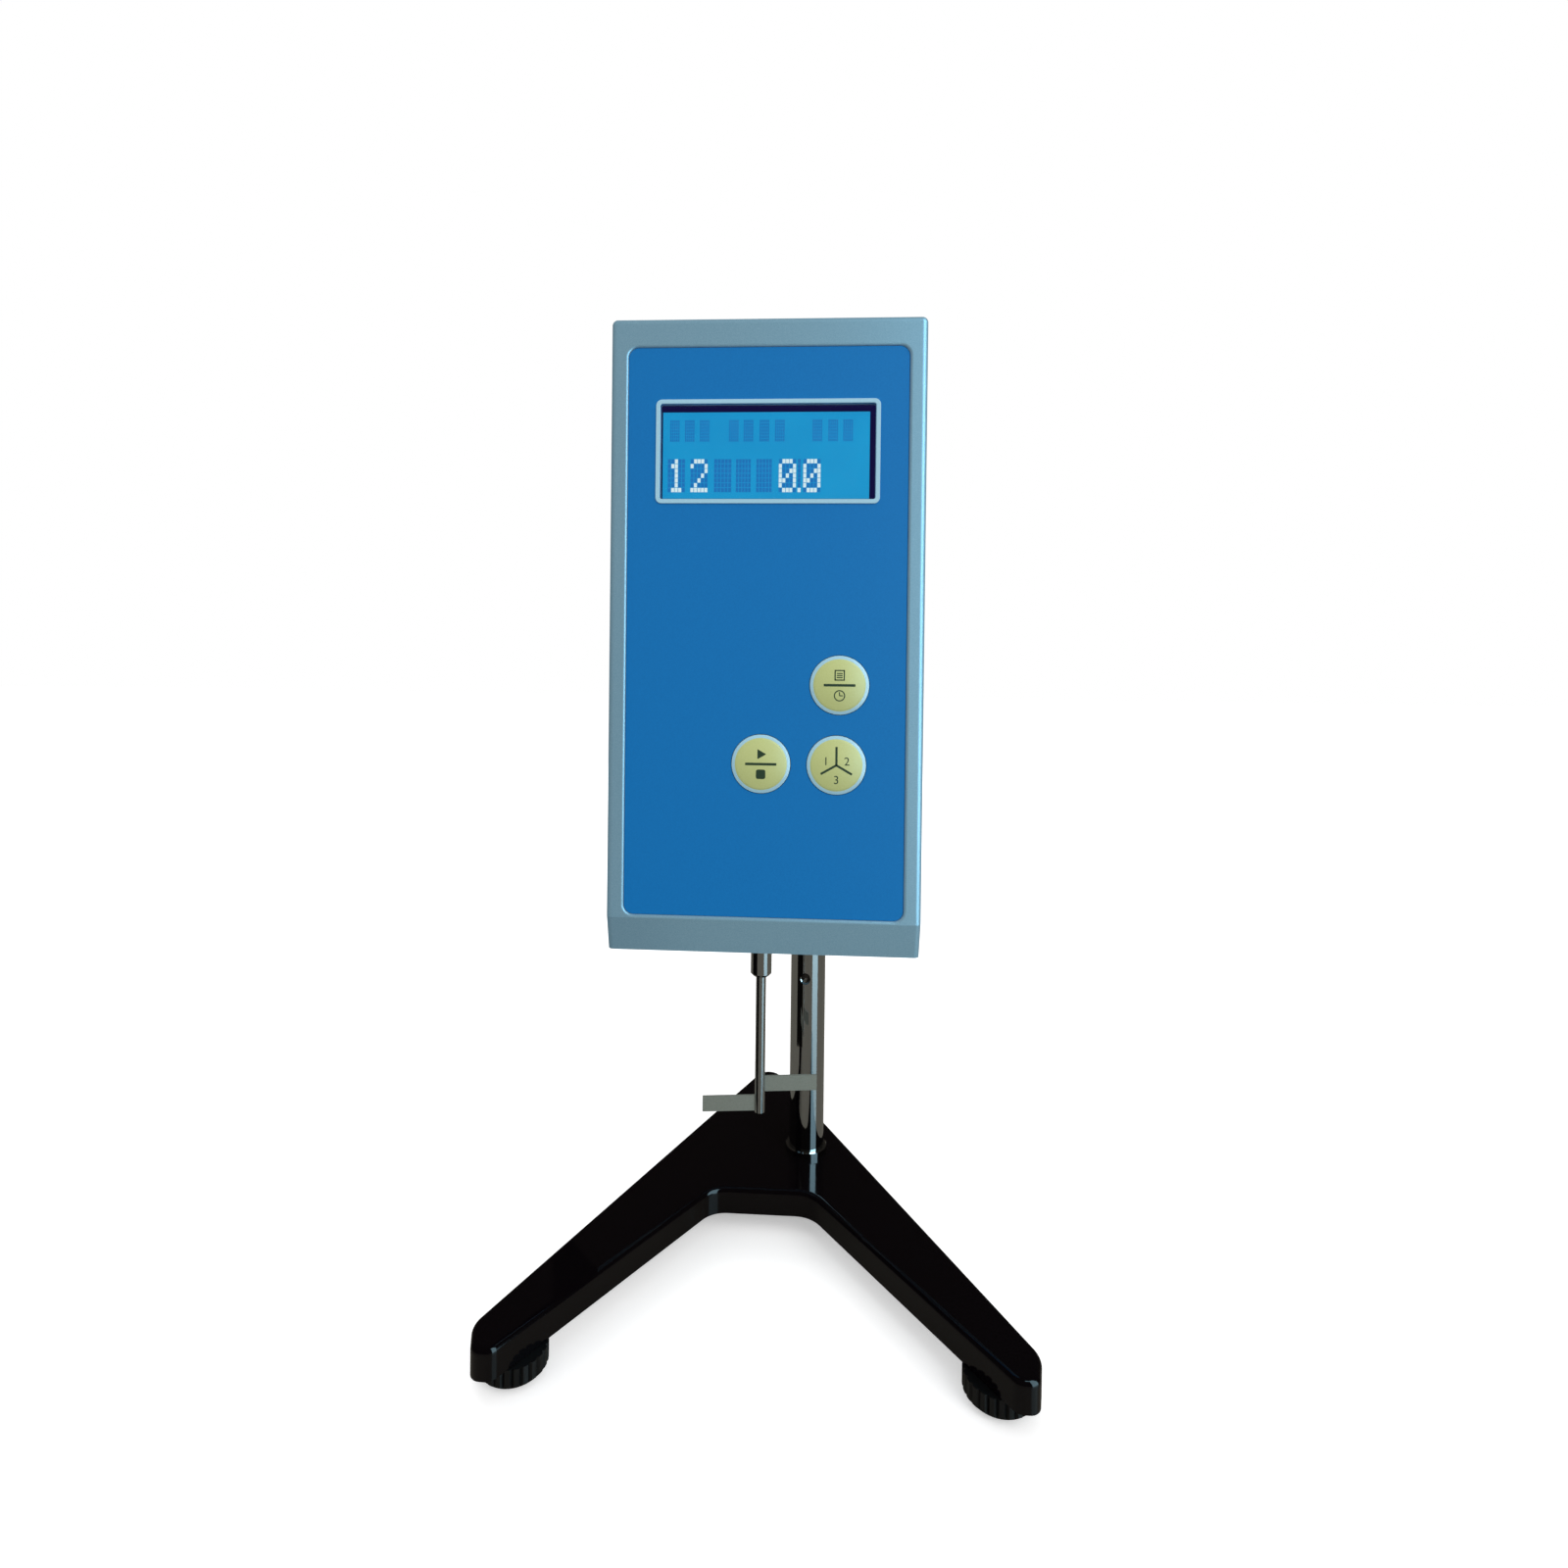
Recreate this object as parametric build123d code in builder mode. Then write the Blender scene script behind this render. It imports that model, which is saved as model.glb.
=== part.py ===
from build123d import *
import math
import os

os.makedirs("parts", exist_ok=True)

# Paint viscometer on a bench stand: a paddle turned through a torque spring by a geared motor.
# Millimetres, +Z up, the front looks along -Y. The origin is on the bench under the middle of the base.

# ---- base casting ----
BASE_DEPTH = 225.0          # rounded rear tip to the front of the legs
BASE_TOP = 22.5             # height of the top face above the bench
LEG_THICKNESS = 12.0
OUTER_ANGLE = 26.0          # outer edge of a leg, from the fore-and-aft line
INNER_ANGLE = 35.0          # inner edge of a leg, so that the legs taper
TIP_RADIUS = 8.0            # rounding of the rear tip
NOTCH_Y = -9.0              # straight edge between the legs
NOTCH_WIDTH = 47.6
NOTCH_RADIUS = 14.0
END_BEVEL = 13.0            # length of a leg's slanting outer end
END_FLAT = 8.0              # width of a leg's square front end
END_RADIUS = 5.0
OUTER_CORNER_RADIUS = 10.0
BASE_EDGE_RADIUS = 2.4      # rounding of the casting's top edge
CASTING_WALL = 5.0          # wall left round the pocket on the underside
POCKET_DEPTH = 5.5
FOOT_BOSS_RADIUS = 13.0
REAR_BOSS_RADIUS = 18.0
HUB_BOSS_RADIUS = 16.0
SPOTFACE_DEPTH = 4.0        # seat of the column's washer, above the underside

# ---- levelling feet ----
FOOT_SETBACK = 19.5         # front feet, behind the ends of the legs
REAR_FOOT_SETBACK = 24.5    # rear foot, ahead of the rear tip
STUD_RADIUS = 3.9
STUD_HOLE_TOP = 3.0         # metal left above the blind stud hole
STUD_TIP_ROOM = 1.5
KNOB_RADIUS = 13.5
KNOB_TOP_GAP = 0.4          # between the knob and the casting, screwed right in
KNOB_RIBS = 24
KNOB_GROOVE = 1.5           # half the diagonal of the square cutter of a groove
KNOB_GROOVE_DEPTH = 0.9
KNOB_CHAMFER = 0.9
PAD_RADIUS = 10.5
PAD_THICKNESS = 2.0
PAD_PIVOT_RADIUS = 3.0
PAD_PIVOT_LENGTH = 3.5

# ---- column ----
COLUMN_X = 22.0
COLUMN_Y = 29.0
COLUMN_RADIUS = 9.0
COLUMN_TOP_DROP = 46.0      # top of the column below the top of the head
TAIL_RADIUS = 6.0           # threaded tail through the base
TAIL_END = 5.5              # height of the tail's end above the bench
PIN_HOLE_Z = 115.0
PIN_HOLE_RADIUS = 2.25
PIN_SINK_DEPTH = 0.7        # countersink at the hole's front mouth
PIN_HOLE_TURN = 10.0        # degrees that the hole looks to the left of the front
COLLAR_WALL = 1.6
COLLAR_HEIGHT = 3.2
COLLAR_CHAMFER = 0.6
WASHER_RADIUS = 12.0
WASHER_THICKNESS = 2.0
NUT_ACROSS_FLATS = 18.0
NUT_HEIGHT = 6.0

# ---- head housing ----
HEAD_WIDTH = 140.0
HEAD_BOTTOM = 148.0
HEAD_HEIGHT = 283.0
HEAD_FRONT = -44.0
HEAD_DEPTH = 100.0
SHELL_SPLIT = 20.0          # joint between front shell and rear cover
SHELL_WALL = 3.5
COVER_WALL = 2.5
CHIN_HEIGHT = 16.0
CHIN_SETBACK = 5.0
SHELL_EDGE_RADIUS = 2.6
PLATE_THICKNESS = 3.0       # bottom plate
PLATE_GAP = 0.2
SCREW_MARGIN = 6.5          # screws of the cover and the bottom plate, inside the side walls
SCREW_RADIUS = 1.5
SCREW_HEAD_RADIUS = 2.9
SCREW_HEAD_HEIGHT = 1.8
SCREW_HEAD_CHAMFER = 0.8
PLATE_SCREW_INSET = 14.0
PLATE_SCREW_LENGTH = 8.0
BOSS_RADIUS = 4.0
PLATE_BOSS_HEIGHT = 10.0
DISPLAY_POST_RADIUS = 2.4
DISPLAY_POST_Z = 20.0       # above and below the middle of the window
KEY_POST_RADIUS = 2.5
POST_INSET = 4.0            # of a board's post from the board's edge
KEY_BOARD_MARGIN = 18.5     # board past the middles of the outer keys
KEY_BOARD_GAP = 3.0         # between the shell and the key board

# ---- front panel, display and keys ----
PANEL_WIDTH = 124.0
PANEL_TOP_MARGIN = 13.0     # shell left above the panel
PANEL_CHIN_MARGIN = 1.5     # shell left between the panel and the crease of the chin
PANEL_RADIUS = 4.4
PANEL_RECESS = 2.0
PANEL_LIP_RADIUS = 1.2      # rounding of the shell's edge round the panel
PANEL_THICKNESS = 1.2
PANEL_GAP = 0.15
WINDOW_WIDTH = 95.4
WINDOW_HEIGHT = 42.2
WINDOW_DROP = 59.0          # middle of the window below the top of the head
WINDOW_RADIUS = 1.0
FRAME_BAND = 1.95           # width of the light frame round the window
FRAME_PROUD = 0.6
FRAME_CHAMFER = 0.2
FRAME_RADIUS = 2.7
GLASS_WIDTH = 92.4          # lit display
GLASS_HEIGHT = 38.6
GLASS_SHIFT = -0.9          # display sits a little low and left in the window
GLASS_THICKNESS = 0.8
PANE_THICKNESS = 1.2
PANE_LAP = 2.2
MODULE_DEPTH = 8.0
MODULE_RIM = 5.5
BOARD_THICKNESS = 1.6
KEY_RADIUS = 13.0
KEY_RIM_WIDTH = 1.45
KEY_GAP = 0.3
KEY_THICKNESS = 1.0
KEY_CROWN = 0.6             # the pale disc stands this far ahead of its ring
KEY_SLOPE = 0.8
KEY_CHAMFER = 0.25
KEY_TRAVEL = 0.5
KEY_STEM_RADIUS = 4.0
KEY_STEM_GAP = 0.4
KEY_POINTS = {              # x and height below the top of the head
    "upper": (33.0, 162.0),
    "left": (-1.3, 197.3),
    "right": (32.0, 197.3),
}

# ---- drive, spindle and paddle ----
SPINDLE_X = -1.0
SPINDLE_Y = -19.0
SPINDLE_RADIUS = 3.0
CHUCK_RADIUS = 4.95
CHUCK_DROP = 17.0           # below the head
CHUCK_CHAMFER = 1.2
PADDLE_SHAFT_RADIUS = 2.38
PADDLE_END = 66.0           # lower end of the paddle's shaft above the bench
PADDLE_WIDTH = 54.0
BLADE_HEIGHT = 7.1
BLADE_PITCH = 9.0
BLADE_THICKNESS = 1.2
BLADE_END_MARGIN = 1.0      # shaft left below the lower blade
PADDLE_TURN = 7.0           # degrees that the paddle stands off square
DISC_RADIUS = 17.0
DISC_THICKNESS = 1.0
DISC_SLOTS = 16
DISC_SLOT_INSET = 2.4
DISC_SLOT_LENGTH = 2.8
DISC_SLOT_WIDTH = 1.2
SPRING_HALF_TURNS = 7       # odd or even, the outer end comes to the right
SPRING_STRIP = 0.4
SPRING_HEIGHT = 5.0
BEARING_RADIUS = 8.0
BEARING_WIDTH = 5.0
BEARING_RACE = 1.2          # thickness of the inner ring
BEARING_OUTER_RACE = 1.4
BEARING_SHIELD = 0.4        # depth of the shields below the rings' faces
HOUSING_RADIUS = 13.0
HOUSING_HEIGHT = 36.0
FLANGE_RADIUS = 15.5
FLANGE_THICKNESS = 4.0
GEARBOX_RADIUS = 14.0
GEARBOX_HEIGHT = 25.0
MOTOR_RADIUS = 12.0
MOTOR_HEIGHT = 30.0
CHASSIS_Y = 12.0
CHASSIS_THICKNESS = 2.0
CHASSIS_FOOT = 10.0
CHASSIS_RETURN = 4.0        # of the plate's side edges, folded to the back
BOARD_POST_X = 44.0
BOARD_POST_RADIUS = 2.5
BOARD_POST_LENGTH = 7.0
CHIP_SIZE = 20.0
CHIP_X = 19.0
CHIP_RISE = 58.0            # middle of the chips above the lower board posts
CHIP_HEIGHT = 6.0
CAPACITOR_X = 29.0
CAPACITOR_RADIUS = 6.0

INPUT_SHAFT_REACH = 12.0    # of the driven shaft into the gearbox
GEARBOX_PILOT_RADIUS = 7.0
MOTOR_BRACKET_THICKNESS = 2.5
MOTOR_BRACKET_RISE = 22.0
HOUSING_BORE_RADIUS = 5.5
DISC_HUB_RADIUS = 5.5
SPRING_GAP = 0.3            # between the shaft and the spring's inner end
SPRING_OUTER_RADIUS = 11.0
SPRING_PEG_RADIUS = 1.0
FORK_DEPTH = 9.0
FORK_HEIGHT = 7.6
FORK_SLOT = 3.0
FORK_SLOT_DEPTH = 5.5
FORK_WIDTH = 12.0
BRACKET_SHEET = 1.5

# ---- clamp on the column ----
CLAMP_BLOCK_WIDTH = 38.0
CLAMP_BLOCK_HEIGHT = 39.0
BUSH_WALL = 1.9
BUSH_LENGTH = 12.0
CLAMP_PAD_RADIUS = 4.8
CLAMP_PAD_LENGTH = 3.4
CLAMP_STUD_RADIUS = 3.9
CLAMP_TRAVEL = 1.25
CLAMP_KNOB_RADIUS = 15.0
CLAMP_KNOB_NECK = 8.2       # radius of the neck against the cover
CLAMP_NECK_LENGTH = 6.0
CLAMP_GRIP_LENGTH = 9.0
CLAMP_KNOB_LOBES = 6
CLAMP_FLUTE_RADIUS = 5.4
CLAMP_FLUTE_CENTRE = 17.7
CLAMP_KNOB_CHAMFER = 1.2

# ---- sockets and switch on the back ----
SOCKET_X = -38.0
JACK_Z = 172.0
SERIAL_Z = 200.0
SWITCH_Z = 228.0
SWITCH_WIDTH = 13.0
SWITCH_HEIGHT = 14.4
SWITCH_RIM = 2.0
SWITCH_WALL = 1.0
SWITCH_RIM_THICKNESS = 1.5
SWITCH_DEPTH = 9.0
ROCKER_TILT = 8.0           # degrees each side of the middle
ROCKER_FACE = 4.2           # ahead of its pivot
ROCKER_HALF = 6.5
ROCKER_DIP = 0.9            # hollow of the rocker's face at its middle
ROCKER_BACK = 2.0           # behind its pivot
ROCKER_BACK_HALF = 5.0
ROCKER_PIVOT_DEPTH = 2.0    # pivot behind the cover's outer face
ROCKER_PIN_RADIUS = 0.8
JACK_FLANGE_RADIUS = 6.0
JACK_FLANGE_THICKNESS = 1.5
JACK_BARREL_RADIUS = 4.5
JACK_LENGTH = 11.0
JACK_BORE_RADIUS = 3.0
JACK_BORE_DEPTH = 9.0
JACK_PIN_RADIUS = 1.05
SERIAL_BODY_WIDTH = 18.0
SERIAL_BODY_HEIGHT = 10.0
SERIAL_FLANGE_WIDTH = 31.0
SERIAL_FLANGE_HEIGHT = 12.5
SERIAL_FLANGE = 1.0         # thickness
SERIAL_SHELL_WIDTH = 17.0   # of the plug's D-shaped shell, standing out
SERIAL_SHELL_HEIGHT = 8.4
SERIAL_SLANT = 80           # degrees, sides of the D
SERIAL_CORNER = 1.4
SERIAL_PROUD = 5.8
SERIAL_DEPTH = 9.0

# ---- clearances ----
RUNNING = 0.05              # radial, turning and sliding fits
SEAT = 0.03                 # radial, fixed fits
FREE = 0.3                  # between parts that move past each other
END_CHAMFER = 0.8           # ends of posts, studs and pads

# ---- places worked out from the sizes above ----
base_bottom = BASE_TOP - LEG_THICKNESS
base_front = -BASE_DEPTH / 2
tan_outer = math.tan(math.radians(OUTER_ANGLE))
tan_inner = math.tan(math.radians(INNER_ANGLE))
tip_y = BASE_DEPTH / 2 + TIP_RADIUS * (1 / math.sin(math.radians(OUTER_ANGLE)) - 1)
head_top = HEAD_BOTTOM + HEAD_HEIGHT
head_back = HEAD_FRONT + HEAD_DEPTH
column_top = head_top - COLUMN_TOP_DROP
collar_radius = COLUMN_RADIUS + COLLAR_WALL
spring_inner_radius = SPINDLE_RADIUS + SPRING_GAP
chin_top = HEAD_BOTTOM + CHIN_HEIGHT
shell_inside = HEAD_FRONT + SHELL_WALL
cover_inside = head_back - COVER_WALL
plate_top = HEAD_BOTTOM + PLATE_THICKNESS
panel_top = head_top - PANEL_TOP_MARGIN
panel_bottom = chin_top + PANEL_CHIN_MARGIN
panel_middle = (panel_top + panel_bottom) / 2
panel_floor = HEAD_FRONT + PANEL_RECESS
panel_face = panel_floor - PANEL_THICKNESS
window_z = head_top - WINDOW_DROP
chassis_back = CHASSIS_Y + CHASSIS_THICKNESS
board_post_low = HEAD_BOTTOM + HEAD_HEIGHT * 0.53
board_post_high = head_top - 25.0


def outer_edge_x(y):
    """Half width of the base over its outer edges at this place."""
    return (tip_y - y) * tan_outer


def inner_edge_x(y):
    """Half width of the gap between the legs at this place."""
    return NOTCH_WIDTH / 2 + (NOTCH_Y - y) * tan_inner


def front_plane(y):
    """Upright plane at this depth, looking to the front."""
    return Plane.XZ.offset(-y)


def turn_profile(points, x, y, mode=Mode.ADD):
    """Turn a closed outline of (radius, height) points about an upright axis at x, y."""
    with BuildSketch(front_plane(y)) as half_outline:
        with BuildLine():
            Polyline(*[(x + radius, height) for radius, height in points], close=True)
        make_face()
    revolve(half_outline.sketch, axis=Axis((x, y, 0), (0, 0, 1)), mode=mode)


def pick(shape, x, y):
    """The corner of a sketch nearest to this place."""
    return shape.vertices().sort_by_distance((x, y, base_bottom))[0]


front_foot_y = base_front + FOOT_SETBACK
front_foot_x = (outer_edge_x(front_foot_y) + inner_edge_x(front_foot_y)) / 2
FEET = {
    "front_left": (-front_foot_x, front_foot_y),
    "front_right": (front_foot_x, front_foot_y),
    "rear": (0, BASE_DEPTH / 2 - REAR_FOOT_SETBACK),
}

# ======== stand ========
outer_corner = (outer_edge_x(base_front + END_BEVEL), base_front + END_BEVEL)
end_inner = (inner_edge_x(base_front), base_front)
end_outer = (end_inner[0] + END_FLAT, base_front)
notch_corner = (NOTCH_WIDTH / 2, NOTCH_Y)
stud_hole_depth = LEG_THICKNESS - STUD_HOLE_TOP

with BuildPart() as base_casting:
    with BuildSketch(Plane.XY.offset(base_bottom)) as base_outline:
        with BuildLine():
            Polyline((0, tip_y), outer_corner, end_outer, end_inner, notch_corner, (0, NOTCH_Y))
            mirror(about=Plane.YZ)
        make_face()
        fillet(pick(base_outline, 0, tip_y), TIP_RADIUS)
        for side in (-1, 1):
            fillet(pick(base_outline, side * outer_corner[0], outer_corner[1]), OUTER_CORNER_RADIUS)
            fillet(pick(base_outline, side * end_outer[0], base_front), END_RADIUS)
            fillet(pick(base_outline, side * end_inner[0], base_front), END_RADIUS)
            fillet(pick(base_outline, side * notch_corner[0], NOTCH_Y), NOTCH_RADIUS)
    extrude(amount=LEG_THICKNESS)
    fillet(base_casting.faces().sort_by(Axis.Z)[-1].edges(), BASE_EDGE_RADIUS)
    with BuildSketch(Plane.XY.offset(base_bottom)):
        add(base_outline.sketch_local)
        offset(amount=-CASTING_WALL, mode=Mode.REPLACE)
        with Locations(FEET["front_left"], FEET["front_right"]):
            Circle(FOOT_BOSS_RADIUS, mode=Mode.SUBTRACT)
        with Locations(FEET["rear"]):
            Circle(REAR_BOSS_RADIUS, mode=Mode.SUBTRACT)
        with Locations((COLUMN_X, COLUMN_Y)):
            Circle(HUB_BOSS_RADIUS, mode=Mode.SUBTRACT)
    extrude(amount=POCKET_DEPTH, mode=Mode.SUBTRACT)
    with BuildSketch(Plane.XY.offset(base_bottom)):
        with Locations(*FEET.values()):
            Circle(STUD_RADIUS + RUNNING)
    extrude(amount=stud_hole_depth, mode=Mode.SUBTRACT)
    with BuildSketch(Plane.XY.offset(base_bottom)):
        with Locations((COLUMN_X, COLUMN_Y)):
            Circle(WASHER_RADIUS + FREE)
    extrude(amount=SPOTFACE_DEPTH, mode=Mode.SUBTRACT)
    with BuildSketch(Plane.XY.offset(base_bottom)):
        with Locations((COLUMN_X, COLUMN_Y)):
            Circle(TAIL_RADIUS + SEAT)
    extrude(amount=LEG_THICKNESS, mode=Mode.SUBTRACT)
base_casting.part.label = "base_casting"
export_step(base_casting.part, "parts/base_casting.step")

# Bright steel post, drilled across for the stop pin that carries the head at its lowest.
pin_turn = math.radians(PIN_HOLE_TURN)
pin_plane = Plane(origin=(COLUMN_X, COLUMN_Y, PIN_HOLE_Z), x_dir=(math.cos(pin_turn), -math.sin(pin_turn), 0),
                  z_dir=(-math.sin(pin_turn), -math.cos(pin_turn), 0))
with BuildPart() as column:
    turn_profile(
        [(0, TAIL_END), (TAIL_RADIUS - END_CHAMFER, TAIL_END), (TAIL_RADIUS, TAIL_END + END_CHAMFER),
         (TAIL_RADIUS, BASE_TOP), (COLUMN_RADIUS, BASE_TOP), (COLUMN_RADIUS, column_top - END_CHAMFER),
         (COLUMN_RADIUS - END_CHAMFER, column_top), (0, column_top)],
        COLUMN_X, COLUMN_Y)
    with BuildSketch(pin_plane):
        Circle(PIN_HOLE_RADIUS)
    extrude(amount=2 * COLUMN_RADIUS, both=True, mode=Mode.SUBTRACT)
    with BuildSketch(pin_plane.offset(COLUMN_RADIUS - PIN_SINK_DEPTH)):
        Circle(PIN_HOLE_RADIUS)
    with BuildSketch(pin_plane.offset(COLUMN_RADIUS)):
        Circle(PIN_HOLE_RADIUS + PIN_SINK_DEPTH)
    loft(mode=Mode.SUBTRACT)
column.part.label = "column"
export_step(column.part, "parts/column.step")

collar_top = BASE_TOP + COLLAR_HEIGHT
with BuildPart() as column_collar:
    turn_profile(
        [(COLUMN_RADIUS + SEAT, BASE_TOP), (collar_radius, BASE_TOP),
         (collar_radius, collar_top - COLLAR_CHAMFER), (collar_radius - COLLAR_CHAMFER, collar_top),
         (COLUMN_RADIUS + SEAT, collar_top)],
        COLUMN_X, COLUMN_Y)
column_collar.part.label = "column_collar"
export_step(column_collar.part, "parts/column_collar.step")

washer_top = base_bottom + SPOTFACE_DEPTH
washer_bottom = washer_top - WASHER_THICKNESS
with BuildPart() as column_washer:
    with BuildSketch(Plane.XY.offset(washer_bottom)):
        with Locations((COLUMN_X, COLUMN_Y)):
            Circle(WASHER_RADIUS)
            Circle(TAIL_RADIUS + SEAT, mode=Mode.SUBTRACT)
    extrude(amount=WASHER_THICKNESS)
column_washer.part.label = "column_washer"
export_step(column_washer.part, "parts/column_washer.step")

with BuildPart() as column_nut:
    with BuildSketch(Plane.XY.offset(washer_bottom - NUT_HEIGHT)):
        with Locations((COLUMN_X, COLUMN_Y)):
            RegularPolygon(NUT_ACROSS_FLATS / 2, 6, major_radius=False)
            Circle(TAIL_RADIUS + SEAT, mode=Mode.SUBTRACT)
    extrude(amount=NUT_HEIGHT)
column_nut.part.label = "column_nut"
export_step(column_nut.part, "parts/column_nut.step")

# ======== levelling feet: a soft pad, and a knurled knob with its stud that turns on it ========
knob_bottom = PAD_THICKNESS + KNOB_TOP_GAP
knob_top = base_bottom - KNOB_TOP_GAP
stud_top = base_bottom + stud_hole_depth - STUD_TIP_ROOM
for place, (foot_x, foot_y) in FEET.items():
    with BuildPart() as foot_pad:
        turn_profile(
            [(0, 0), (PAD_RADIUS - END_CHAMFER, 0), (PAD_RADIUS, END_CHAMFER), (PAD_RADIUS, PAD_THICKNESS),
             (PAD_PIVOT_RADIUS, PAD_THICKNESS), (PAD_PIVOT_RADIUS, PAD_THICKNESS + PAD_PIVOT_LENGTH),
             (0, PAD_THICKNESS + PAD_PIVOT_LENGTH)],
            foot_x, foot_y)
    foot_pad.part.label = f"foot_pad_{place}"
    export_step(foot_pad.part, f"parts/foot_pad_{place}.step")

    with BuildPart() as levelling_knob:
        with BuildSketch(Plane.XY.offset(knob_bottom)):
            with Locations((foot_x, foot_y)):
                Circle(KNOB_RADIUS)
                with PolarLocations(KNOB_RADIUS + KNOB_GROOVE - KNOB_GROOVE_DEPTH, KNOB_RIBS):
                    RegularPolygon(KNOB_GROOVE, 4, mode=Mode.SUBTRACT)
        extrude(amount=knob_top - knob_bottom)
        turn_profile(
            [(STUD_RADIUS - SEAT, knob_bottom), (KNOB_RADIUS - KNOB_CHAMFER, knob_bottom),
             (KNOB_RADIUS, knob_bottom + KNOB_CHAMFER), (KNOB_RADIUS, knob_top), (STUD_RADIUS - SEAT, knob_top)],
            foot_x, foot_y, mode=Mode.INTERSECT)
    levelling_knob.part.label = f"levelling_knob_{place}"
    export_step(levelling_knob.part, f"parts/levelling_knob_{place}.step")

    # The stud is moulded into the knob, and its lower end turns on the pad's pivot.
    pivot_hole_top = PAD_THICKNESS + PAD_PIVOT_LENGTH + FREE
    with BuildPart() as levelling_stud:
        turn_profile(
            [(PAD_PIVOT_RADIUS + RUNNING, knob_bottom), (STUD_RADIUS - 2 * SEAT, knob_bottom),
             (STUD_RADIUS - 2 * SEAT, knob_top), (STUD_RADIUS, knob_top), (STUD_RADIUS, stud_top - END_CHAMFER),
             (STUD_RADIUS - END_CHAMFER, stud_top), (0, stud_top), (0, pivot_hole_top),
             (PAD_PIVOT_RADIUS + RUNNING, pivot_hole_top)],
            foot_x, foot_y)
    levelling_stud.part.label = f"levelling_stud_{place}"
    export_step(levelling_stud.part, f"parts/levelling_stud_{place}.step")

# ======== head housing ========
shell_half = HEAD_WIDTH / 2
inner_half = shell_half - SHELL_WALL
screw_x = inner_half - SCREW_MARGIN
cover_screw_points = [(side * screw_x, z) for side in (-1, 1) for z in (HEAD_BOTTOM + 20, head_top - 22)]
plate_screw_front = HEAD_FRONT + PLATE_SCREW_INSET
plate_screw_back = head_back - PLATE_SCREW_INSET
plate_boss_width = SCREW_MARGIN + BOSS_RADIUS
plate_boss_x = inner_half - plate_boss_width / 2
module_front = shell_inside + PANE_THICKNESS
module_back = module_front + MODULE_DEPTH
key_board_front = shell_inside + KEY_BOARD_GAP
module_half = GLASS_WIDTH / 2 + MODULE_RIM
display_posts = [(side * (module_half + POST_INSET), window_z + z)
                 for side in (-1, 1) for z in (-DISPLAY_POST_Z, DISPLAY_POST_Z)]
key_board_low = head_top - KEY_POINTS["left"][1] - KEY_BOARD_MARGIN
key_board_high = head_top - KEY_POINTS["upper"][1] + KEY_BOARD_MARGIN
key_board_left = KEY_POINTS["left"][0] - KEY_BOARD_MARGIN
key_board_right = KEY_POINTS["upper"][0] + KEY_BOARD_MARGIN
key_posts = [(x, z) for x in (key_board_left + POST_INSET, key_board_right - POST_INSET)
             for z in (key_board_low + POST_INSET, key_board_high - POST_INSET)]

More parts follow.
